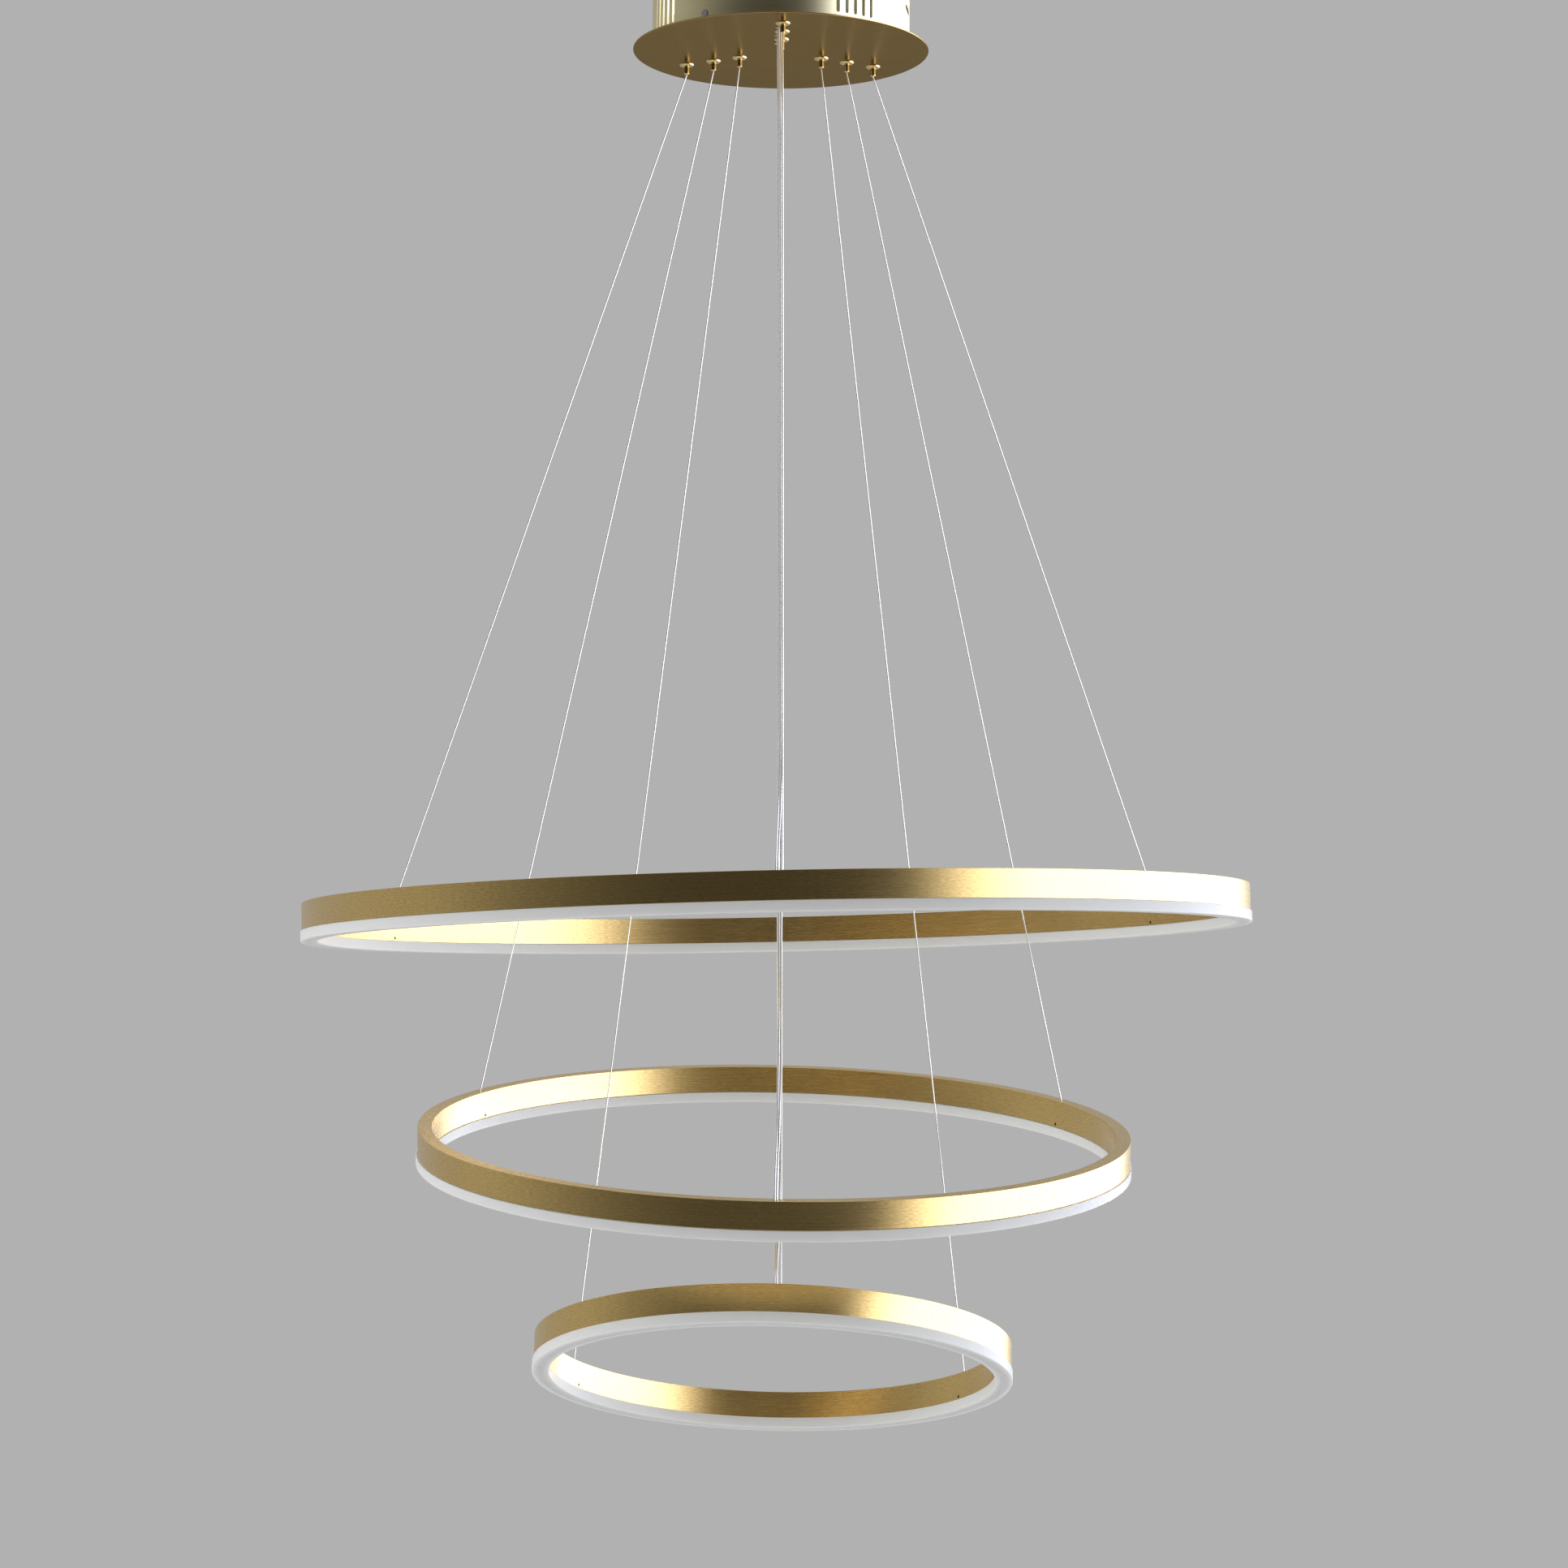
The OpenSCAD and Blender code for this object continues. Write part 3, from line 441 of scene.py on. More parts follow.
def brushed_metal(name, color, roughness, streak, dash, depth, tone=(0.93, 1.07), flat=True, **constants):
    """Brushed metal: fine scratches and short dashes along the UV map's first direction, or along X
    on a plate, in tone, gloss and relief. Streak and dash are their marks per metre, along and across."""
    finish = Finish(name, color, roughness, metallic=1.0, **constants)
    fine = finish.noise(finish.place((*streak, 200), flat), detail=4, roughness=0.7)
    broad = finish.noise(finish.place((*dash, 20), flat), detail=3, roughness=0.6)
    stain = finish.noise(finish.place(), scale=9)
    finish.tone(fine * 0.2 + broad * 0.65 + stain * 0.15, *tone)
    finish.set("Roughness", roughness - 0.1 + 0.16 * fine + 0.04 * stain)
    finish.bump(fine, depth)
    return finish.material


def satin_metal(name, color, roughness, grain, depth, tone=(0.95, 1.05)):
    """Satin metal: even fine grain with faint clouds sixty times as large."""
    finish = Finish(name, color, roughness, metallic=1.0)
    fine = finish.noise(finish.place(), scale=grain, detail=4, roughness=0.6)
    cloud = finish.noise(finish.place(), scale=grain / 60)
    finish.tone(fine * 0.4 + cloud * 0.6, *tone)
    finish.set("Roughness", roughness - 0.05 + 0.06 * fine + 0.05 * cloud)
    finish.bump(fine, depth)
    return finish.material


def moulded_plastic(name, color, roughness, depth=0.00002, tone=(0.96, 1.03), **constants):
    """Moulded plastic: a fine spark-eroded grain with faint flow marks."""
    finish = Finish(name, color, roughness, **constants)
    grain = finish.noise(finish.place(), scale=2600, detail=2)
    flow = finish.noise(finish.place((1, 1, 4)), scale=30)
    finish.tone(flow * 0.7 + grain * 0.3, *tone)
    finish.set("Roughness", roughness - 0.06 + 0.08 * grain + 0.04 * flow)
    finish.bump(grain, depth)
    return finish.material


def opal_acrylic(name, color, depth):
    """Milky acrylic: a satin skin over a body that scatters light, with faint extrusion lines."""
    finish = Finish(name, color, 0.34, subsurface_weight=0.7, subsurface_scale=0.006,
                    subsurface_radius=(1, 1, 1), specular_ior_level=0.35)
    lines = finish.noise(finish.place((3, 900, 1), flat=True), detail=2)
    cloud = finish.noise(finish.place(), scale=14)
    finish.tone(lines * 0.3 + cloud * 0.7, 0.98, 1.02)
    finish.set("Roughness", 0.3 + 0.05 * lines + 0.05 * cloud)
    finish.bump(lines, depth)
    return finish.material


def coated_wire(name, color, depth):
    """Bright steel strands under a thin clear skin, with a grain along them."""
    finish = Finish(name, color, 0.34, metallic=0.85, coat_weight=0.4, coat_roughness=0.15)
    grain = finish.noise(finish.place((40, 3000, 1), flat=True))
    finish.tone(grain, 0.95, 1.04)
    finish.set("Roughness", 0.28 + 0.12 * grain)
    finish.bump(grain, depth)
    return finish.material


def clear_sheath(name, color, depth):
    """Clear soft plastic with the tinned strands shining through it, and die lines along it."""
    finish = Finish(name, color, 0.2, metallic=0.5, transmission_weight=0.1, ior=1.45)
    lines = finish.noise(finish.place((20, 2500, 1), flat=True), detail=2)
    cloud = finish.noise(finish.place(), scale=60, detail=2)
    finish.set("Roughness", 0.08 + 0.08 * lines + 0.06 * cloud)
    finish.bump(lines, depth)
    return finish.material


def foam(name, color, depth):
    """Closed-cell foam with small round cells."""
    finish = Finish(name, color, 0.85)
    cells = finish.node("ShaderNodeTexVoronoi", {}, {"Vector": finish.place(), "Scale": 1400})
    finish.tone(cells, 0.8, 1.2)
    finish.bump(cells, depth)
    return finish.material


# How each finish of the light is made, by the name of its slot in the record
RECIPES = {
    "brushed_gold": (brushed_metal, dict(
        color=(0.80, 0.545, 0.21), roughness=0.26, streak=(3, 5200), dash=(240, 1100), depth=0.00003,
        tone=(0.66, 1.34))),
    "satin_drum": (brushed_metal, dict(
        color=(0.78, 0.70, 0.42), roughness=0.34, streak=(4, 4200), dash=(1, 350), depth=0.000012)),
    "satin_plate": (brushed_metal, dict(
        color=(0.55, 0.38, 0.16), roughness=0.22, streak=(5, 3600), dash=(1, 300), depth=0.000014,
        flat=False, specular_tint=(0.35, 0.35, 0.35, 1))),
    "polished_gold": (satin_metal, dict(
        color=(0.72, 0.56, 0.27), roughness=0.10, grain=500, depth=0.000001)),
    "zinc": (satin_metal, dict(
        color=(0.50, 0.50, 0.50), roughness=0.36, grain=700, depth=0.00001, tone=(0.85, 1.12))),
    "steel": (satin_metal, dict(color=(0.70, 0.70, 0.71), roughness=0.2, grain=900, depth=0.000003)),
    "dark_steel": (satin_metal, dict(
        color=(0.035, 0.032, 0.03), roughness=0.4, grain=900, depth=0.000006)),
    "wire_steel": (coated_wire, dict(color=(0.97, 0.93, 0.80), depth=0.000006)),
    "brass_bare": (satin_metal, dict(
        color=(0.68, 0.50, 0.22), roughness=0.28, grain=700, depth=0.000006)),
    "nylon": (moulded_plastic, dict(color=(0.80, 0.80, 0.77), roughness=0.45)),
    "driver_case": (moulded_plastic, dict(color=(0.80, 0.80, 0.79), roughness=0.42, depth=0.00003)),
    "clear_plastic": (moulded_plastic, dict(
        color=(0.90, 0.90, 0.88), roughness=0.22, transmission_weight=0.85, ior=1.46)),
    "board": (moulded_plastic, dict(color=(0.82, 0.82, 0.80), roughness=0.4)),
    "chip": (moulded_plastic, dict(color=(0.80, 0.62, 0.12), roughness=0.3, tone=(0.9, 1.1))),
    "foam": (foam, dict(color=(0.10, 0.10, 0.11), depth=0.00015)),
    "opal": (opal_acrylic, dict(color=(0.855, 0.87, 0.86), depth=0.000004)),
    "clear_cord": (clear_sheath, dict(color=(0.96, 0.95, 0.92), depth=0.00001)),
}


class Shape:
    """Gathers grids of points into one mesh with a UV map in metres."""

    def __init__(self):
        self.points, self.faces, self.uvs, self.count = [], [], [], 0

    def grid(self, points, wrap=(False, False)):
        """Adds points[row, column]; a wrapped direction closes on itself. UVs are lengths along
        the rows and columns, taken on the middle row and column."""
        rows, columns = points.shape[:2]
        index = np.arange(rows * columns).reshape(rows, columns) + self.count
        path = points
        if wrap[0]:
            index = np.vstack([index, index[:1]])
            path = np.concatenate([path, path[:1]], 0)
        if wrap[1]:
            index = np.hstack([index, index[:, :1]])
            path = np.concatenate([path, path[:, :1]], 1)
        down, over = lengths(path[:, path.shape[1] // 2]), lengths(path[path.shape[0] // 2])
        uv = np.stack(np.meshgrid(down, over, indexing="ij"), -1)
        corners = [(slice(None, -1), slice(None, -1)), (slice(1, None), slice(None, -1)),
                   (slice(1, None), slice(1, None)), (slice(None, -1), slice(1, None))]
        self.faces.append(np.stack([index[c].ravel() for c in corners], -1))
        self.uvs.append(np.stack([uv[c].reshape(-1, 2) for c in corners], 1).reshape(-1, 2))
        self.points.append(points.reshape(-1, 3))
        self.count += rows * columns
        return self

    def build(self, name, material, sharp=SHARP_ANGLE, merge=True):
        """Makes the mesh object. Merging closes its seams and poles and turns its faces outwards."""
        mesh = bpy.data.meshes.new(name)
        mesh.from_pydata(np.concatenate(self.points).tolist(), [], np.concatenate(self.faces).tolist())
        layer = mesh.uv_layers.new(name="surface")
        layer.data.foreach_set("uv", np.concatenate(self.uvs).astype(np.float32).ravel())
        if merge:
            work = bmesh.new()
            work.from_mesh(mesh)
            bmesh.ops.remove_doubles(work, verts=work.verts, dist=MERGE_DISTANCE)
            bmesh.ops.dissolve_degenerate(work, edges=work.edges, dist=SLIVER_DISTANCE)
            bmesh.ops.recalc_face_normals(work, faces=work.faces)
            work.to_mesh(mesh)
            work.free()
        mesh.shade_smooth()
        mesh.set_sharp_from_angle(angle=math.radians(sharp))
        piece = add_object(name, mesh)
        mesh.materials.append(material)
        return piece


def lengths(path):
    """How far each point of a line lies from its start, measured along the line."""
    return np.concatenate([[0], np.cumsum(np.linalg.norm(np.diff(path, axis=0), axis=1))])


def rounded(corners, steps=ROUND_STEPS):
    """Closed outline through corners of (x, y, radius), each turned into an arc with a support point
    either side. The arc's points are corner + tangents blended by cosine and sine of the quarter turn."""
    corners = np.asarray(corners, float)
    places, radii = corners[:, :2], corners[:, 2]
    outline = []
    for k, corner in enumerate(places):
        before = places[k - 1] - corner
        after = places[(k + 1) % len(places)] - corner
        r, room = radii[k], min(np.linalg.norm(before), np.linalg.norm(after)) / 2
        before, after = before / np.linalg.norm(before), after / np.linalg.norm(after)
        angles = np.linspace(0, math.pi / 2, steps + 1)
        arc = [corner + before * r * (1 - math.sin(a)) + after * r * (1 - math.cos(a)) for a in angles]
        reach = min(r + ROUND_SUPPORT, room)
        outline += [corner + before * reach, *arc, corner + after * reach]
    return np.array(outline)


def ring_grid(ring, outline, seam=0.0, segments=RING_SEGMENTS):
    """Carries an outline (distance in from the outer wall, height) round the ring's circle, from its
    seam at the right end. In the seam the outline's points lie deeper along their own normals."""
    mouth = SEAM_MOUTH / ring.radius
    angle = np.linspace(0, 2 * math.pi, segments, endpoint=False)
    sections = np.repeat(outline[None], segments, 0)
    if seam:
        along = np.roll(outline, -1, 0) - np.roll(outline, 1, 0)
        normal = np.stack([-along[:, 1], along[:, 0]], -1) / np.linalg.norm(along, axis=1)[:, None]
        sections = np.concatenate([(outline - normal * seam)[None], sections])
        angle = np.concatenate([[0], [mouth], angle[1:], [2 * math.pi - mouth]])
        sections = np.concatenate([sections, outline[None]])
    angle = angle[:, None] + math.radians(SEAM_TURN)
    radius = ring.radius - sections[..., 0]
    points = np.stack([np.sin(angle) * radius, -np.cos(angle) * radius, sections[..., 1]], -1)
    return ring.placed(points.reshape(-1, 3)).reshape(points.shape)


def lathe(profile, centre, segments):
    """Turns a profile (radius, height) about an upright axis through centre."""
    profile = np.asarray(profile, float)
    angle = np.linspace(0, 2 * math.pi, segments, endpoint=False)
    return np.stack([np.sin(angle)[:, None] * profile[:, 0], -np.cos(angle)[:, None] * profile[:, 0],
                     np.broadcast_to(profile[:, 1], (segments, len(profile)))], -1) + centre


def arc_line(middle, radius, start, end, steps):
    """Points on an arc: middle + radius * (cosine, sine) of angles from start to end, in degrees.
    An arc with two radii is part of an ellipse."""
    angle = np.linspace(math.radians(start), math.radians(end), steps)
    return np.asarray(middle) + np.stack([np.cos(angle), np.sin(angle)], -1) * radius


def smooth_path(points, spacing):
    """Points at an even spacing on a Catmull-Rom curve through the given ones."""
    points = np.asarray(points, float)
    padded = np.concatenate([[2 * points[0] - points[1]], points, [2 * points[-1] - points[-2]]])
    share = np.linspace(0, 1, SPLINE_STEPS, endpoint=False)[:, None]
    pieces = []
    for p0, p1, p2, p3 in zip(padded, padded[1:], padded[2:], padded[3:]):
        pieces.append(0.5 * (2 * p1 + (p2 - p0) * share + (2 * p0 - 5 * p1 + 4 * p2 - p3) * share ** 2
                             + (3 * p1 - p0 - 3 * p2 + p3) * share ** 3))
    return even(np.concatenate(pieces + [points[-1:]]), spacing)


def even(path, spacing):
    """The same line with its points an even spacing apart."""
    length = lengths(path)
    places = np.linspace(0, length[-1], max(2, int(round(length[-1] / spacing)) + 1))
    return np.stack([np.interp(places, length, path[:, k]) for k in range(3)], -1)


def sweep(path, section, twist=0.0, across=(1, 0, 0)):
    """Carries a section (sideways, outwards) along a path, turned by twist per metre, with closed ends.
    A point is path + side * x + normal * y, with side and normal square to the path."""
    path = np.asarray(path, float)
    along = np.gradient(path, axis=0)
    along /= np.linalg.norm(along, axis=1)[:, None]
    normal = np.cross(along, np.asarray(across, float))
    normal /= np.linalg.norm(normal, axis=1)[:, None]
    side = np.cross(normal, along)
    turn = twist * lengths(path)
    x = section[:, 0] * np.cos(turn)[:, None] - section[:, 1] * np.sin(turn)[:, None]
    y = section[:, 0] * np.sin(turn)[:, None] + section[:, 1] * np.cos(turn)[:, None]
    points = path[:, None] + side[:, None] * x[..., None] + normal[:, None] * y[..., None]
    caps = [np.repeat(path[k][None, None], points.shape[1], 1) for k in (0, -1)]
    return np.concatenate([caps[0], points, caps[1]], 0)


def cut(piece, cutters):
    """Takes the cutters' volumes out of a piece, then removes the cutters."""
    for cutter in cutters:
        modifier = piece.modifiers.new("cut", "BOOLEAN")
        modifier.operation, modifier.solver, modifier.object = "DIFFERENCE", "EXACT", cutter
    bpy.context.view_layer.update()
    shaped = bpy.data.meshes.new_from_object(piece.evaluated_get(bpy.context.evaluated_depsgraph_get()))
    piece.modifiers.clear()
    piece.data = shaped
    for cutter in cutters:
        bpy.data.objects.remove(cutter)
    shaped.set_sharp_from_angle(angle=math.radians(SHARP_ANGLE))
    return piece


def circle(radius, sides=24):
    """Round section."""
    angle = np.linspace(0, 2 * math.pi, sides, endpoint=False)
    return np.stack([np.cos(angle), np.sin(angle)], -1) * radius


def slot_section(width, height, slope=0.0, sides=24):
    """Section of a slot with round ends: two half circles of its width, moved apart and turned."""
    angle = np.linspace(0, 2 * math.pi, sides, endpoint=False) + math.pi / sides
    apart = np.sign(np.sin(angle)) * (height - width) / 2
    points = np.stack([np.cos(angle) * width / 2, np.sin(angle) * width / 2 + apart], -1)
    turn = math.radians(slope)
    return points @ np.array([[math.cos(turn), math.sin(turn)], [-math.sin(turn), math.cos(turn)]])


def twin_section(width, thickness, points=28):
    """Section of a flat twin cord: two round lobes with a shallow groove between them. Half the
    thickness follows the lobes' circles, and never less than the web's. It is nought at both ends."""
    lobe = thickness / 2
    angle = np.linspace(0, 2 * math.pi, points, endpoint=False)
    x = np.cos(angle) * width / 2
    nearest = np.abs(np.abs(x) - (width / 2 - lobe))
    web = (CORD_WEB_SHARE * lobe) ** 2 * (np.abs(x) < width / 2 - lobe)
    height = np.sqrt(np.maximum(lobe ** 2 - nearest ** 2, web))
    return np.stack([x, np.sign(np.sin(angle)) * height * (np.abs(np.sin(angle)) > NEARLY_ZERO)], -1)


def strand_section(radius):
    """Section of a stranded wire: a ring of round strands, their tips out and the gaps between in."""
    angle = np.linspace(0, 2 * math.pi, 2 * STRANDS, endpoint=False)
    reach = np.where(np.arange(2 * STRANDS) % 2 == 0, radius, radius * STRAND_GAP_SHARE)
    return np.stack([np.cos(angle) * reach, np.sin(angle) * reach], -1)


def peg(name, start, end, section, across=(1, 0, 0)):
    """Cutter with the given section, or round where that is a radius, from start to end."""
    section = circle(section) if np.isscalar(section) else section
    path = [np.asarray(start, float), np.asarray(end, float)]
    return Shape().grid(sweep(path, section, across=across), (False, True)).build(name, None)


def wall_peg(name, turn, height, section):
    """Cutter through the drum's wall, its section seen from outside."""
    return peg(name, around(DRUM_R - DRUM_CUT_REACH, turn, height),
               around(DRUM_R + DRUM_CUT_REACH, turn, height), section, across=around(1, turn + 90, 0))


def finished(piece, body, slot, *nodes):
    """Lets a piece ride on its body and stand for its CAD nodes, which it hides. The slot is not used."""
    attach(piece, body)
    if nodes:
        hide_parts(*nodes)
    return piece


def shorten(piece, ring, low, high):
    """Reads how far the ring's height joint can raise a hanging piece, then gives the piece a mesh of its own; the
    piece is not shortened.
    """
    joint = f"{ring.name}_height"
    lift = next(row["range_m"][1] for row in frame["joints"] if row["name"] == joint)
    drop = high[2] - low[2]
    (drop - lift) / drop
    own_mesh(piece)


def make_cord(ring):
    """A clear flat twin cord with two tinned conductors, from the canopy into the ring."""
    route = np.array(CORD_ROUTES[ring.name]) * MM
    path = smooth_path(route, CORD_STEP)
    body = f"{ring.name}_feed"
    sheath = Shape().grid(sweep(path, twin_section(CORD_W, CORD_T)), (False, True)).build(
        f"{ring.name}_cord_sheath", finishes["clear_cord"])
    finished(sheath, body, "clear_cord", f"{ring.name}_power_cord")
    cores = Shape()
    for side in (-1, 1):
        inside = path[1:-1] + [side * (CORD_W - CORD_T) / 2, 0, 0]
        cores.grid(sweep(inside, circle(CORD_T * CORD_CORE_SHARE, CORE_SIDES)), (False, True))
    core_piece = cores.build(f"{ring.name}_cord_cores", finishes["steel"])
    finished(core_piece, body, "steel")
    low, high = ring.anchor("front"), np.array([0, 0, DISC_Z])
    for piece in (sheath, core_piece):
        shorten(piece, ring, low, high)


def make_wire(ring, where):
    """A stranded steel wire: straight from its anchor to the gripper, then up through it."""
    low, high = ring.anchor(where), ring.bend(where)
    lead = (high - low) / np.linalg.norm(high - low)
    tail = ring.front_tail if where == "front" else TAIL_UP
    top = high + [0, 0, DISC_Z + BARREL_UP + tail - high[2]]
    corner = [high - lead * WIRE_BEND_FAR, high - lead * WIRE_BEND_NEAR,
              high + [0, 0, WIRE_BEND_NEAR], high + [0, 0, WIRE_BEND_FAR]]
    path = even(np.array([low + lead * ANCHOR_BALL_R * WIRE_IN_BALL_SHARE, *corner, top]), WIRE_STEP)
    rope = sweep(path, strand_section(WIRE_R), 2 * math.pi / STRAND_LAY, across=np.cross(lead, (0, 0, 1)))
    piece = Shape().grid(rope, (False, True)).build(
        f"{ring.name}_{where}_wire_rope", finishes["wire_steel"], sharp=ROPE_SHARP)
    if where == "front":
        finished(piece, f"{ring.name}_feed", "wire_steel", f"{ring.name}_front_wire")
        shorten(piece, ring, low, high)
    else:
        finished(piece, "canopy", "wire_steel", f"{ring.name}_rear_wires")
        shorten(piece, ring, low, high)


def make_channel(ring):
    """Gold channel with rounded edges, open below, a wire chamber inside and all its holes."""
    shelf, right = WEB_T + CHAMBER_H, RING_W - WALL_T
    top = shelf + SHELF_T
    outline = rounded([
        (0, 0, CHANNEL_TOP_EDGE), (RING_W, 0, CHANNEL_TOP_EDGE), (RING_W, -CHANNEL_H, CHANNEL_FOOT_EDGE),
        (right, -CHANNEL_H, CHANNEL_INNER_EDGE), (right, -top, CHANNEL_INNER_EDGE),
        (WALL_T, -top, CHANNEL_INNER_EDGE), (WALL_T, -CHANNEL_H, CHANNEL_INNER_EDGE),
        (0, -CHANNEL_H, CHANNEL_FOOT_EDGE)])
    chamber = np.array([(WALL_T, -WEB_T), (WALL_T, -shelf), (right, -shelf), (right, -WEB_T)])
    shape = Shape().grid(ring_grid(ring, outline, CHANNEL_SEAM), (True, True))
    shape.grid(ring_grid(ring, chamber, segments=CHAMBER_SEGMENTS), (True, True))
    piece = shape.build(f"{ring.name}_channel", finishes["brushed_gold"], merge=False)
    cutters = []
    middle, inner = ring.radius - RING_W / 2, ring.radius - RING_W
    for where, turn in WIRE_TURNS.items():
        cutters.append(peg(f"anchor_hole_{where}", ring.placed(around(middle, turn, CUT_OVER)),
                           ring.placed(around(middle, turn, -WEB_T - CUT_OVER)), ANCHOR_HOLE_R))
        level = -CHANNEL_H + GRUB_UP
        cutters.append(peg(f"grub_hole_{where}", ring.placed(around(inner - CUT_OVER, turn, level)),
                           ring.placed(around(inner + WALL_T + GRUB_OVER, turn, level)), GRUB_R, (0, 0, 1)))
    slot = np.array([[-CORD_SIDE, -middle, CUT_OVER], [-CORD_SIDE, -middle, -WEB_T - CUT_OVER]])
    cutters.append(peg("cord_slot", *ring.placed(slot),
                       slot_section(CORD_T + 2 * CORD_SLOT_GAP, CORD_W + 2 * CORD_SLOT_GAP, 90)))
    finished(cut(piece, cutters), f"{ring.name}_ring", "brushed_gold", f"{ring.name}_profile")


def make_diffuser(ring):
    """Milky trough with rounded lower edges, its legs up in the channel."""
    leg = WALL_T + LEG_GAP
    wall = leg + DIFFUSER_WALL
    brow, foot = -CHANNEL_H - DIFFUSER_GAP, -CHANNEL_H - DIFFUSER_H
    leg_top = -(WEB_T + CHAMBER_H + SHELF_T) - LEG_TOP_GAP
    outline = rounded([
        (-DIFFUSER_LIP, brow, BROW_EDGE), (leg, brow, BROW_CORNER), (leg, leg_top, LEG_EDGE),
        (wall, leg_top, LEG_EDGE), (wall, foot + DIFFUSER_WALL, TROUGH_EDGE),
        (RING_W - wall, foot + DIFFUSER_WALL, TROUGH_EDGE), (RING_W - wall, leg_top, LEG_EDGE),
        (RING_W - leg, leg_top, LEG_EDGE), (RING_W - leg, brow, BROW_CORNER),
        (RING_W + DIFFUSER_LIP, brow, BROW_EDGE), (RING_W + DIFFUSER_LIP, foot, DIFFUSER_EDGE),
        (-DIFFUSER_LIP, foot, DIFFUSER_EDGE)], steps=DIFFUSER_STEPS)
    piece = Shape().grid(ring_grid(ring, outline, DIFFUSER_SEAM), (True, True)).build(
        f"{ring.name}_diffuser_shell", finishes["opal"], merge=False)
    finished(piece, f"{ring.name}_ring", "opal", f"{ring.name}_diffuser")


def make_plate():
    """Cover plate: a disc turned from half its section, with a rounded rim, then drilled."""
    bottom, top = DISC_Z, DISC_Z + PLATE_T
    rim = arc_line((PLATE_R - PLATE_EDGE, (bottom + top) / 2), (PLATE_EDGE, PLATE_T / 2), -90, 90,
                   PLATE_RIM_STEPS)
    radii = np.linspace(0, PLATE_R - 2 * PLATE_EDGE, PLATE_STEPS)
    profile = np.concatenate([np.stack([radii, np.full(PLATE_STEPS, bottom)], -1), rim,
                              np.stack([radii[::-1], np.full(PLATE_STEPS, top)], -1)])
    piece = Shape().grid(lathe(profile, 0, PLATE_SEGMENTS), (True, False)).build(
        "cover_plate", finishes["satin_plate"])
    cutters = []
    for ring, reach in zip(RINGS, BUSHING_REACHES):
        for where, turn in WIRE_TURNS.items():
            hole = around(ring.grip_r, turn, 0)
            cutters.append(peg(f"gripper_hole_{where}", hole + [0, 0, bottom - CUT_OVER],
                               hole + [0, 0, top + CUT_OVER], BARREL_R + HOLE_GAP))
        cutters.append(peg("bushing_hole", (-BUSHING_SIDE, -reach, bottom - CUT_OVER),
                           (-BUSHING_SIDE, -reach, top + CUT_OVER), BUSHING_R + HOLE_GAP))
    finished(cut(piece, cutters), "canopy", "satin_plate", "canopy_plate")


def make_drum():
    """Drum: a thin rolled wall with a base turned inwards, pierced by vents and slots."""
    foot, inside, base = -DRUM_H, DRUM_R - DRUM_T, DRUM_R - DRUM_BASE_W
    outline = rounded([
        (DRUM_R, foot, DRUM_BEND), (DRUM_R, 0, DRUM_EDGE), (inside, 0, DRUM_EDGE),
        (inside, foot + DRUM_T, DRUM_FOLD), (base, foot + DRUM_T, DRUM_EDGE), (base, foot, DRUM_EDGE)])
    piece = Shape().grid(lathe(outline, 0, DRUM_SEGMENTS), (True, True)).build(
        "drum_shell", finishes["satin_drum"])
    cutters = [peg("stud_hole", around(DRUM_R - STUD_INSET, turn, foot - CUT_OVER),
                   around(DRUM_R - STUD_INSET, turn, foot + DRUM_T + CUT_OVER), STUD_HOLE_R)
               for turn in STUD_TURNS]
    cutters += [wall_peg("side_hole", turn, foot + SIDE_UP, SIDE_HOLE_R) for turn in SIDE_TURNS]
    cutters += [wall_peg("key_slot", turn, foot + KEY_UP, slot_section(KEY_W, KEY_LENGTH, 90 - KEY_SLOPE))
                for turn in KEY_TURNS]
    cutters += [wall_peg("vent", group + step * VENT_PITCH, foot + VENT_FOOT + VENT_H / 2,
                         slot_section(VENT_W, VENT_H)) for group in VENT_GROUPS for step in VENT_STEPS]
    finished(cut(piece, cutters), "canopy", "satin_drum", "canopy_drum")


def gripper_profile():
    """Half section of a gripper body: a saucer, whose face is a quarter of an ellipse, and a barrel
    whose thread rises and falls with its pitch. The barrel's bore comes back down to the mouth."""
    mouth = NIPPLE_R + NIPPLE_GAP
    turns = np.linspace(math.asin((mouth + DOME_LIP) / DOME_R), math.radians(DOME_RIM_TURN), DOME_STEPS)
    cap = np.stack([DOME_R * np.sin(turns), -DOME_H * np.cos(turns)], -1)
    lip = [(mouth, cap[0, 1] + DOME_LIP_UP), (mouth + DOME_LIP_EASE[0], cap[0, 1] + DOME_LIP_EASE[1])]
    rim = [(DOME_R - DOME_RIM_EASE, cap[-1, 1] * DOME_RIM_SHARE), (DOME_R, -DOME_RIM_DOWN),
           (DOME_R - DOME_RIM_BACK, 0)]
    heights = np.arange(PLATE_T + THREAD_UP, BARREL_UP - THREAD_END, THREAD_STEP)
    thread = np.stack([BARREL_R - THREAD_DEPTH * (np.arange(len(heights)) % 2), heights], -1)
    shank = [(BARREL_R, 0), (BARREL_R, PLATE_T + SHANK_UP)]
    under_cap = BARREL_UP - BARREL_CAP
    bore = [(BARREL_R - BARREL_CHAMFER, BARREL_UP), (BARREL_BORE, BARREL_UP), (BARREL_BORE, under_cap),
            (SPRING_BORE, under_cap), (SPRING_BORE, CONE_UP), (NECK_R, NECK_UP), (POCKET_R, NECK_UP),
            (POCKET_R, MOUTH_UP), (mouth, MOUTH_UP)]
    return np.concatenate([lip, cap, rim, shank, thread, bore])


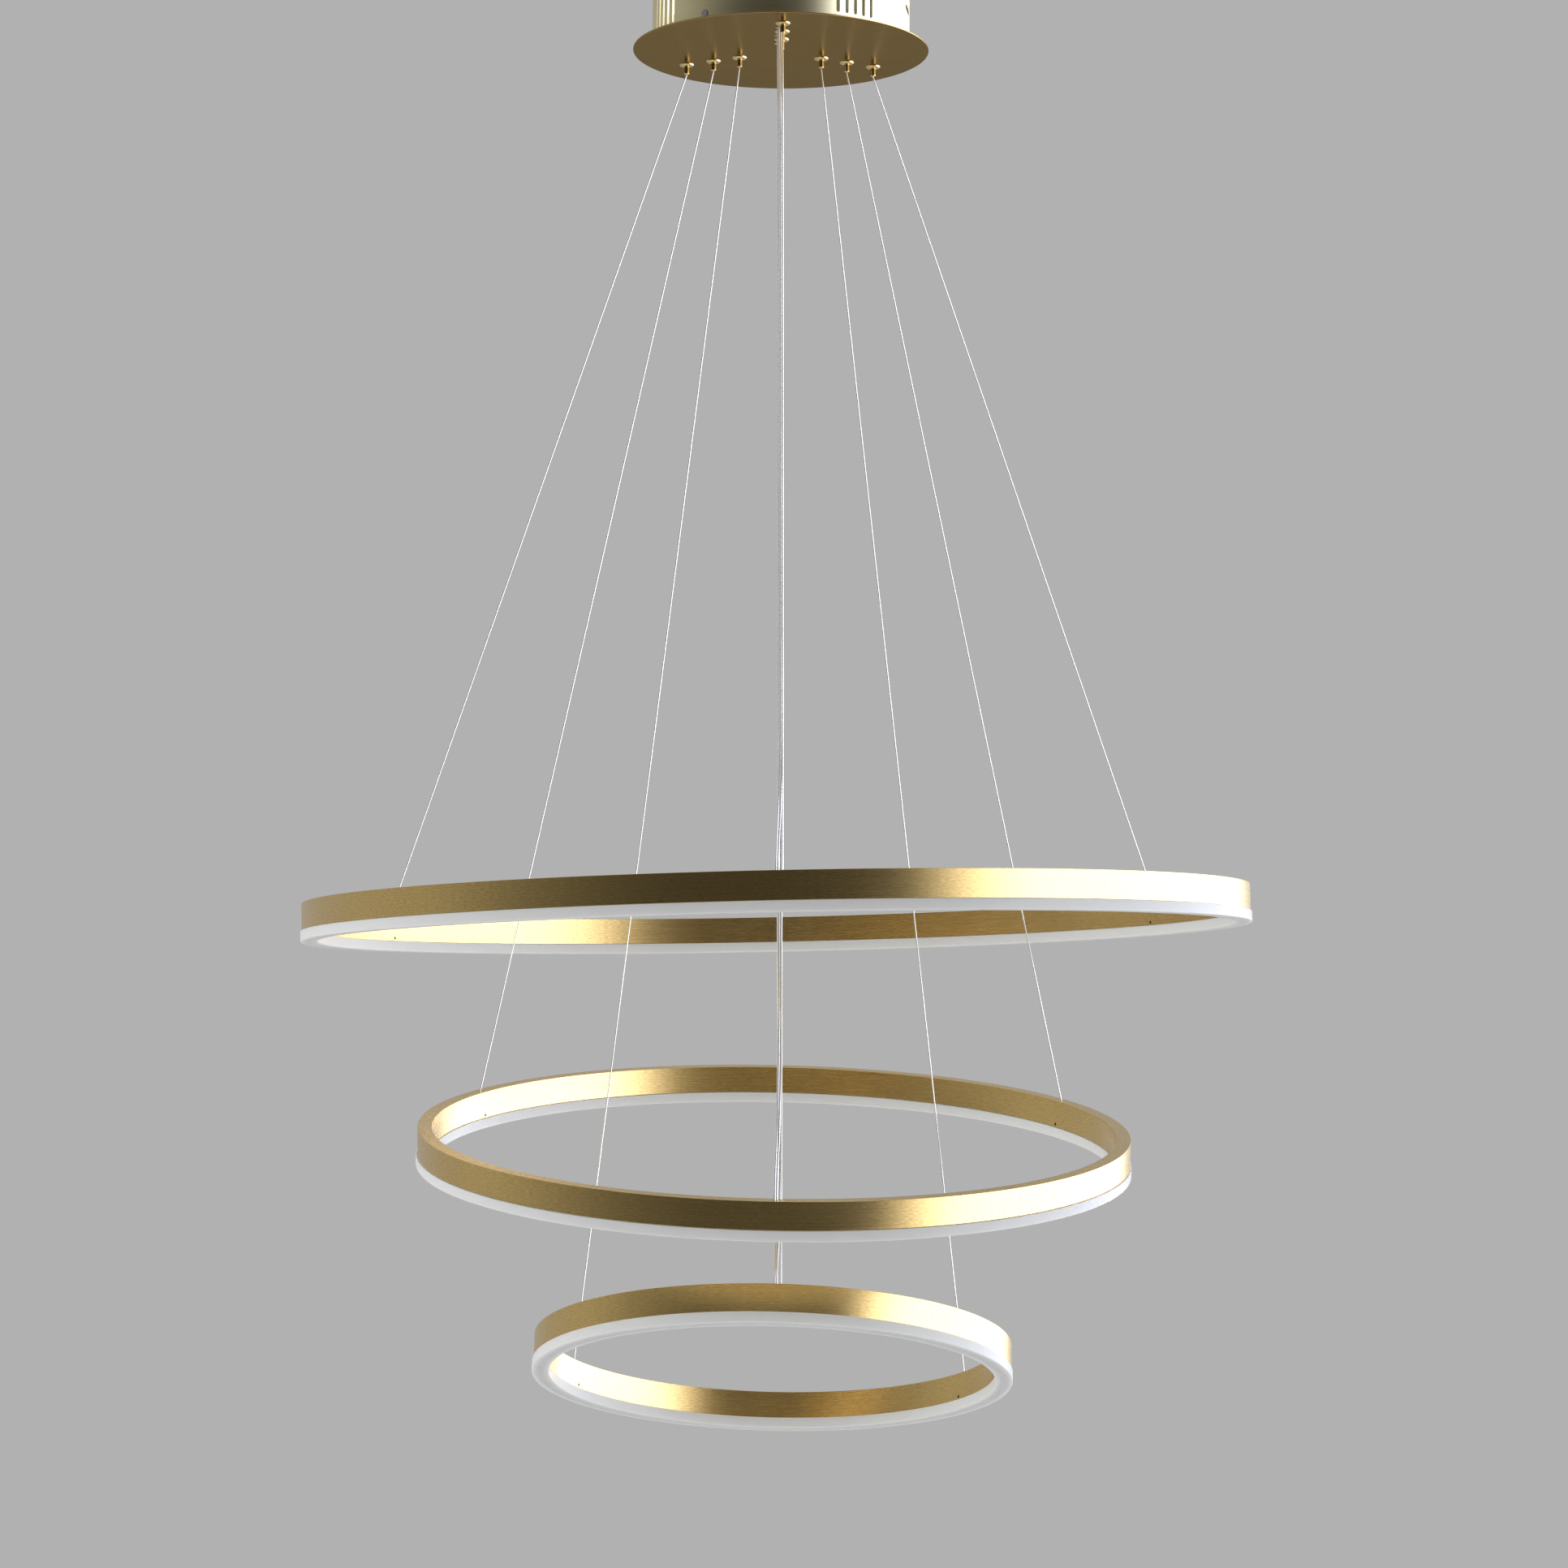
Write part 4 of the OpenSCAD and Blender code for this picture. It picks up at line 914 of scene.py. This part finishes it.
def make_grippers():
    """Nine gripper bodies, as one piece, each with its own nipple: a saucer under the plate and a
    threaded barrel through it."""
    profile = gripper_profile()
    bodies = Shape()
    for ring in RINGS:
        for where, turn in WIRE_TURNS.items():
            bodies.grid(lathe(profile, around(ring.grip_r, turn, DISC_Z), GRIPPER_SEGMENTS), (True, True))
            make_nipple(ring, where, turn)
    piece = bodies.build("gripper_domes", finishes["polished_gold"], sharp=GRIPPER_SHARP)
    finished(piece, "canopy", "polished_gold", "gripper_bodies")


def make_nipple(ring, where, turn):
    """Sprung nipple: a tube with a rolled mouth and a shoulder, turned about the gripper's axis."""
    foot = -DOME_H - NIPPLE_DROP
    mouth = arc_line((NIPPLE_BORE + NIPPLE_LIP, foot + NIPPLE_LIP), NIPPLE_LIP, 270, 180,
                     NIPPLE_LIP_STEPS)
    edge = arc_line((NIPPLE_R - NIPPLE_EDGE, foot + NIPPLE_EDGE), NIPPLE_EDGE, -90, 0,
                    NIPPLE_EDGE_STEPS)
    shoulder = MOUTH_UP + SHOULDER_GAP
    upper = [(NIPPLE_R, foot + NIPPLE_STRAIGHT), (NIPPLE_R, shoulder), (SHOULDER_R, shoulder),
             (SHOULDER_R, shoulder + SHOULDER_H), (STEM_R, shoulder + SHOULDER_H), (STEM_R, STEM_UP),
             (NIPPLE_BORE, STEM_UP)]
    profile = np.concatenate([edge, upper, mouth])
    tube = lathe(profile, around(ring.grip_r, turn, DISC_Z), NIPPLE_SEGMENTS)
    piece = Shape().grid(tube, (True, True)).build(
        f"{ring.name}_{where}_nipple", finishes["polished_gold"], sharp=GRIPPER_SHARP)
    finished(piece, f"{ring.name}_{where}_button", "polished_gold", f"{ring.name}_{where}_plunger")


def dress_nodes():
    """Gives every CAD node the finish of its slot in the record."""
    slots = {row["node"]: row["material_slot"] for row in frame["record"]["subparts"]}
    for name, node in frame["nodes"].items():
        node.data.materials.clear()
        node.data.materials.append(finishes[slots[name]])


def make_floor():
    """Pale floor below the light, seen only from above. It thins out into the pale background
    between two distances from its middle."""
    reach = FLOOR_FADE[1]
    mesh = bpy.data.meshes.new("floor")
    mesh.from_pydata([(-reach, -reach, FLOOR_Z), (reach, -reach, FLOOR_Z), (reach, reach, FLOOR_Z),
                      (-reach, reach, FLOOR_Z)], [], [(0, 1, 2, 3)])
    floor = add_object("floor", mesh)
    pale = Finish("pale_floor", (FLOOR_TONE,) * 3, 0.95, specular_ior_level=0.1)
    clear = pale.node("ShaderNodeBsdfTransparent")
    below = pale.node("ShaderNodeNewGeometry", output="Backfacing")
    away = pale.node("ShaderNodeVectorMath", {"operation": "LENGTH"}, {0: pale.place((1, 1, 0))},
                     output="Value")
    thin = pale.slope(away, FLOOR_FADE)
    shown = pale.node("ShaderNodeMixShader", {}, {
        0: below + thin - below * thin, 1: Value(pale, pale.principled.outputs[0]), 2: clear})
    pale.join(shown, pale.tree.nodes["Material Output"].inputs["Surface"])
    mesh.materials.append(pale.material)


def make_world():
    """Studio surroundings: even soft light and a pale background. Metal and glass mirror the same
    background behind the light, a dim room in front of it and the bright side by the window box."""
    world = bpy.data.worlds.new("studio")
    bpy.context.scene.world = world
    world.use_nodes = True
    room = Shader(world.node_tree)
    rays = room.node("ShaderNodeLightPath")
    camera, glossy, through = (Value(room, rays.socket.node.outputs[name]) for name in (
        "Is Camera Ray", "Is Glossy Ray", "Is Transmission Ray"))
    direction = room.node("ShaderNodeTexCoord", output="Generated")
    right, back = (room.node("ShaderNodeSeparateXYZ", {}, {0: direction}, output=axis) for axis in "XY")
    window = room.slope(right + WINDOW_LEAN * back, WINDOW_SLOPE)
    mirrored = room.slope(back, BACK_SLOPE, ROOM_FRONT, BACKGROUND) + ROOM_RIGHT * window
    plain = 1 - camera - glossy - through
    strength = plain * ROOM_DIFFUSE + (camera + through) * BACKGROUND + glossy * mirrored
    # A Mix node's colours are its sixth and seventh inputs, and its mixed colour is its second output
    tint = room.node("ShaderNodeMix", {"data_type": "RGBA"}, {
        0: glossy * window, 6: WHITE, 7: (*WINDOW_TINT, 1)}, output=2)
    background = world.node_tree.nodes["Background"]
    room.join(tint, background.inputs["Color"])
    room.join(strength, background.inputs["Strength"])


def make_lamps():
    """Two large soft boxes beside the light and a small one above. Their energy follows their area,
    so that a brightness of 1 is the same for each."""
    for box in LAMPS:
        data = bpy.data.lights.new(box.name, "AREA")
        data.shape = "RECTANGLE"
        data.size, data.size_y = box.size
        data.energy = box.glow * math.pi * box.size[0] * box.size[1]
        lamp = add_object(box.name, data)
        place = Vector(box.place)
        facing = (Vector((0, 0, box.aim)) - place).to_track_quat("-Z", "Y")
        lamp.matrix_world = Matrix.Translation(place) @ facing.to_matrix().to_4x4()
        lamp.visible_camera = False
        lamp.visible_glossy = box.mirrored


make_camera()
finishes = {name: make(name, **values) for name, (make, values) in RECIPES.items()}
for ring in RINGS:
    make_cord(ring)
    for where in WIRE_TURNS:
        make_wire(ring, where)
for ring in RINGS:
    make_channel(ring)
    make_diffuser(ring)
make_plate()
make_drum()
make_grippers()
dress_nodes()
make_floor()
make_world()
make_lamps()
bpy.context.scene.view_settings.view_transform = "Standard"
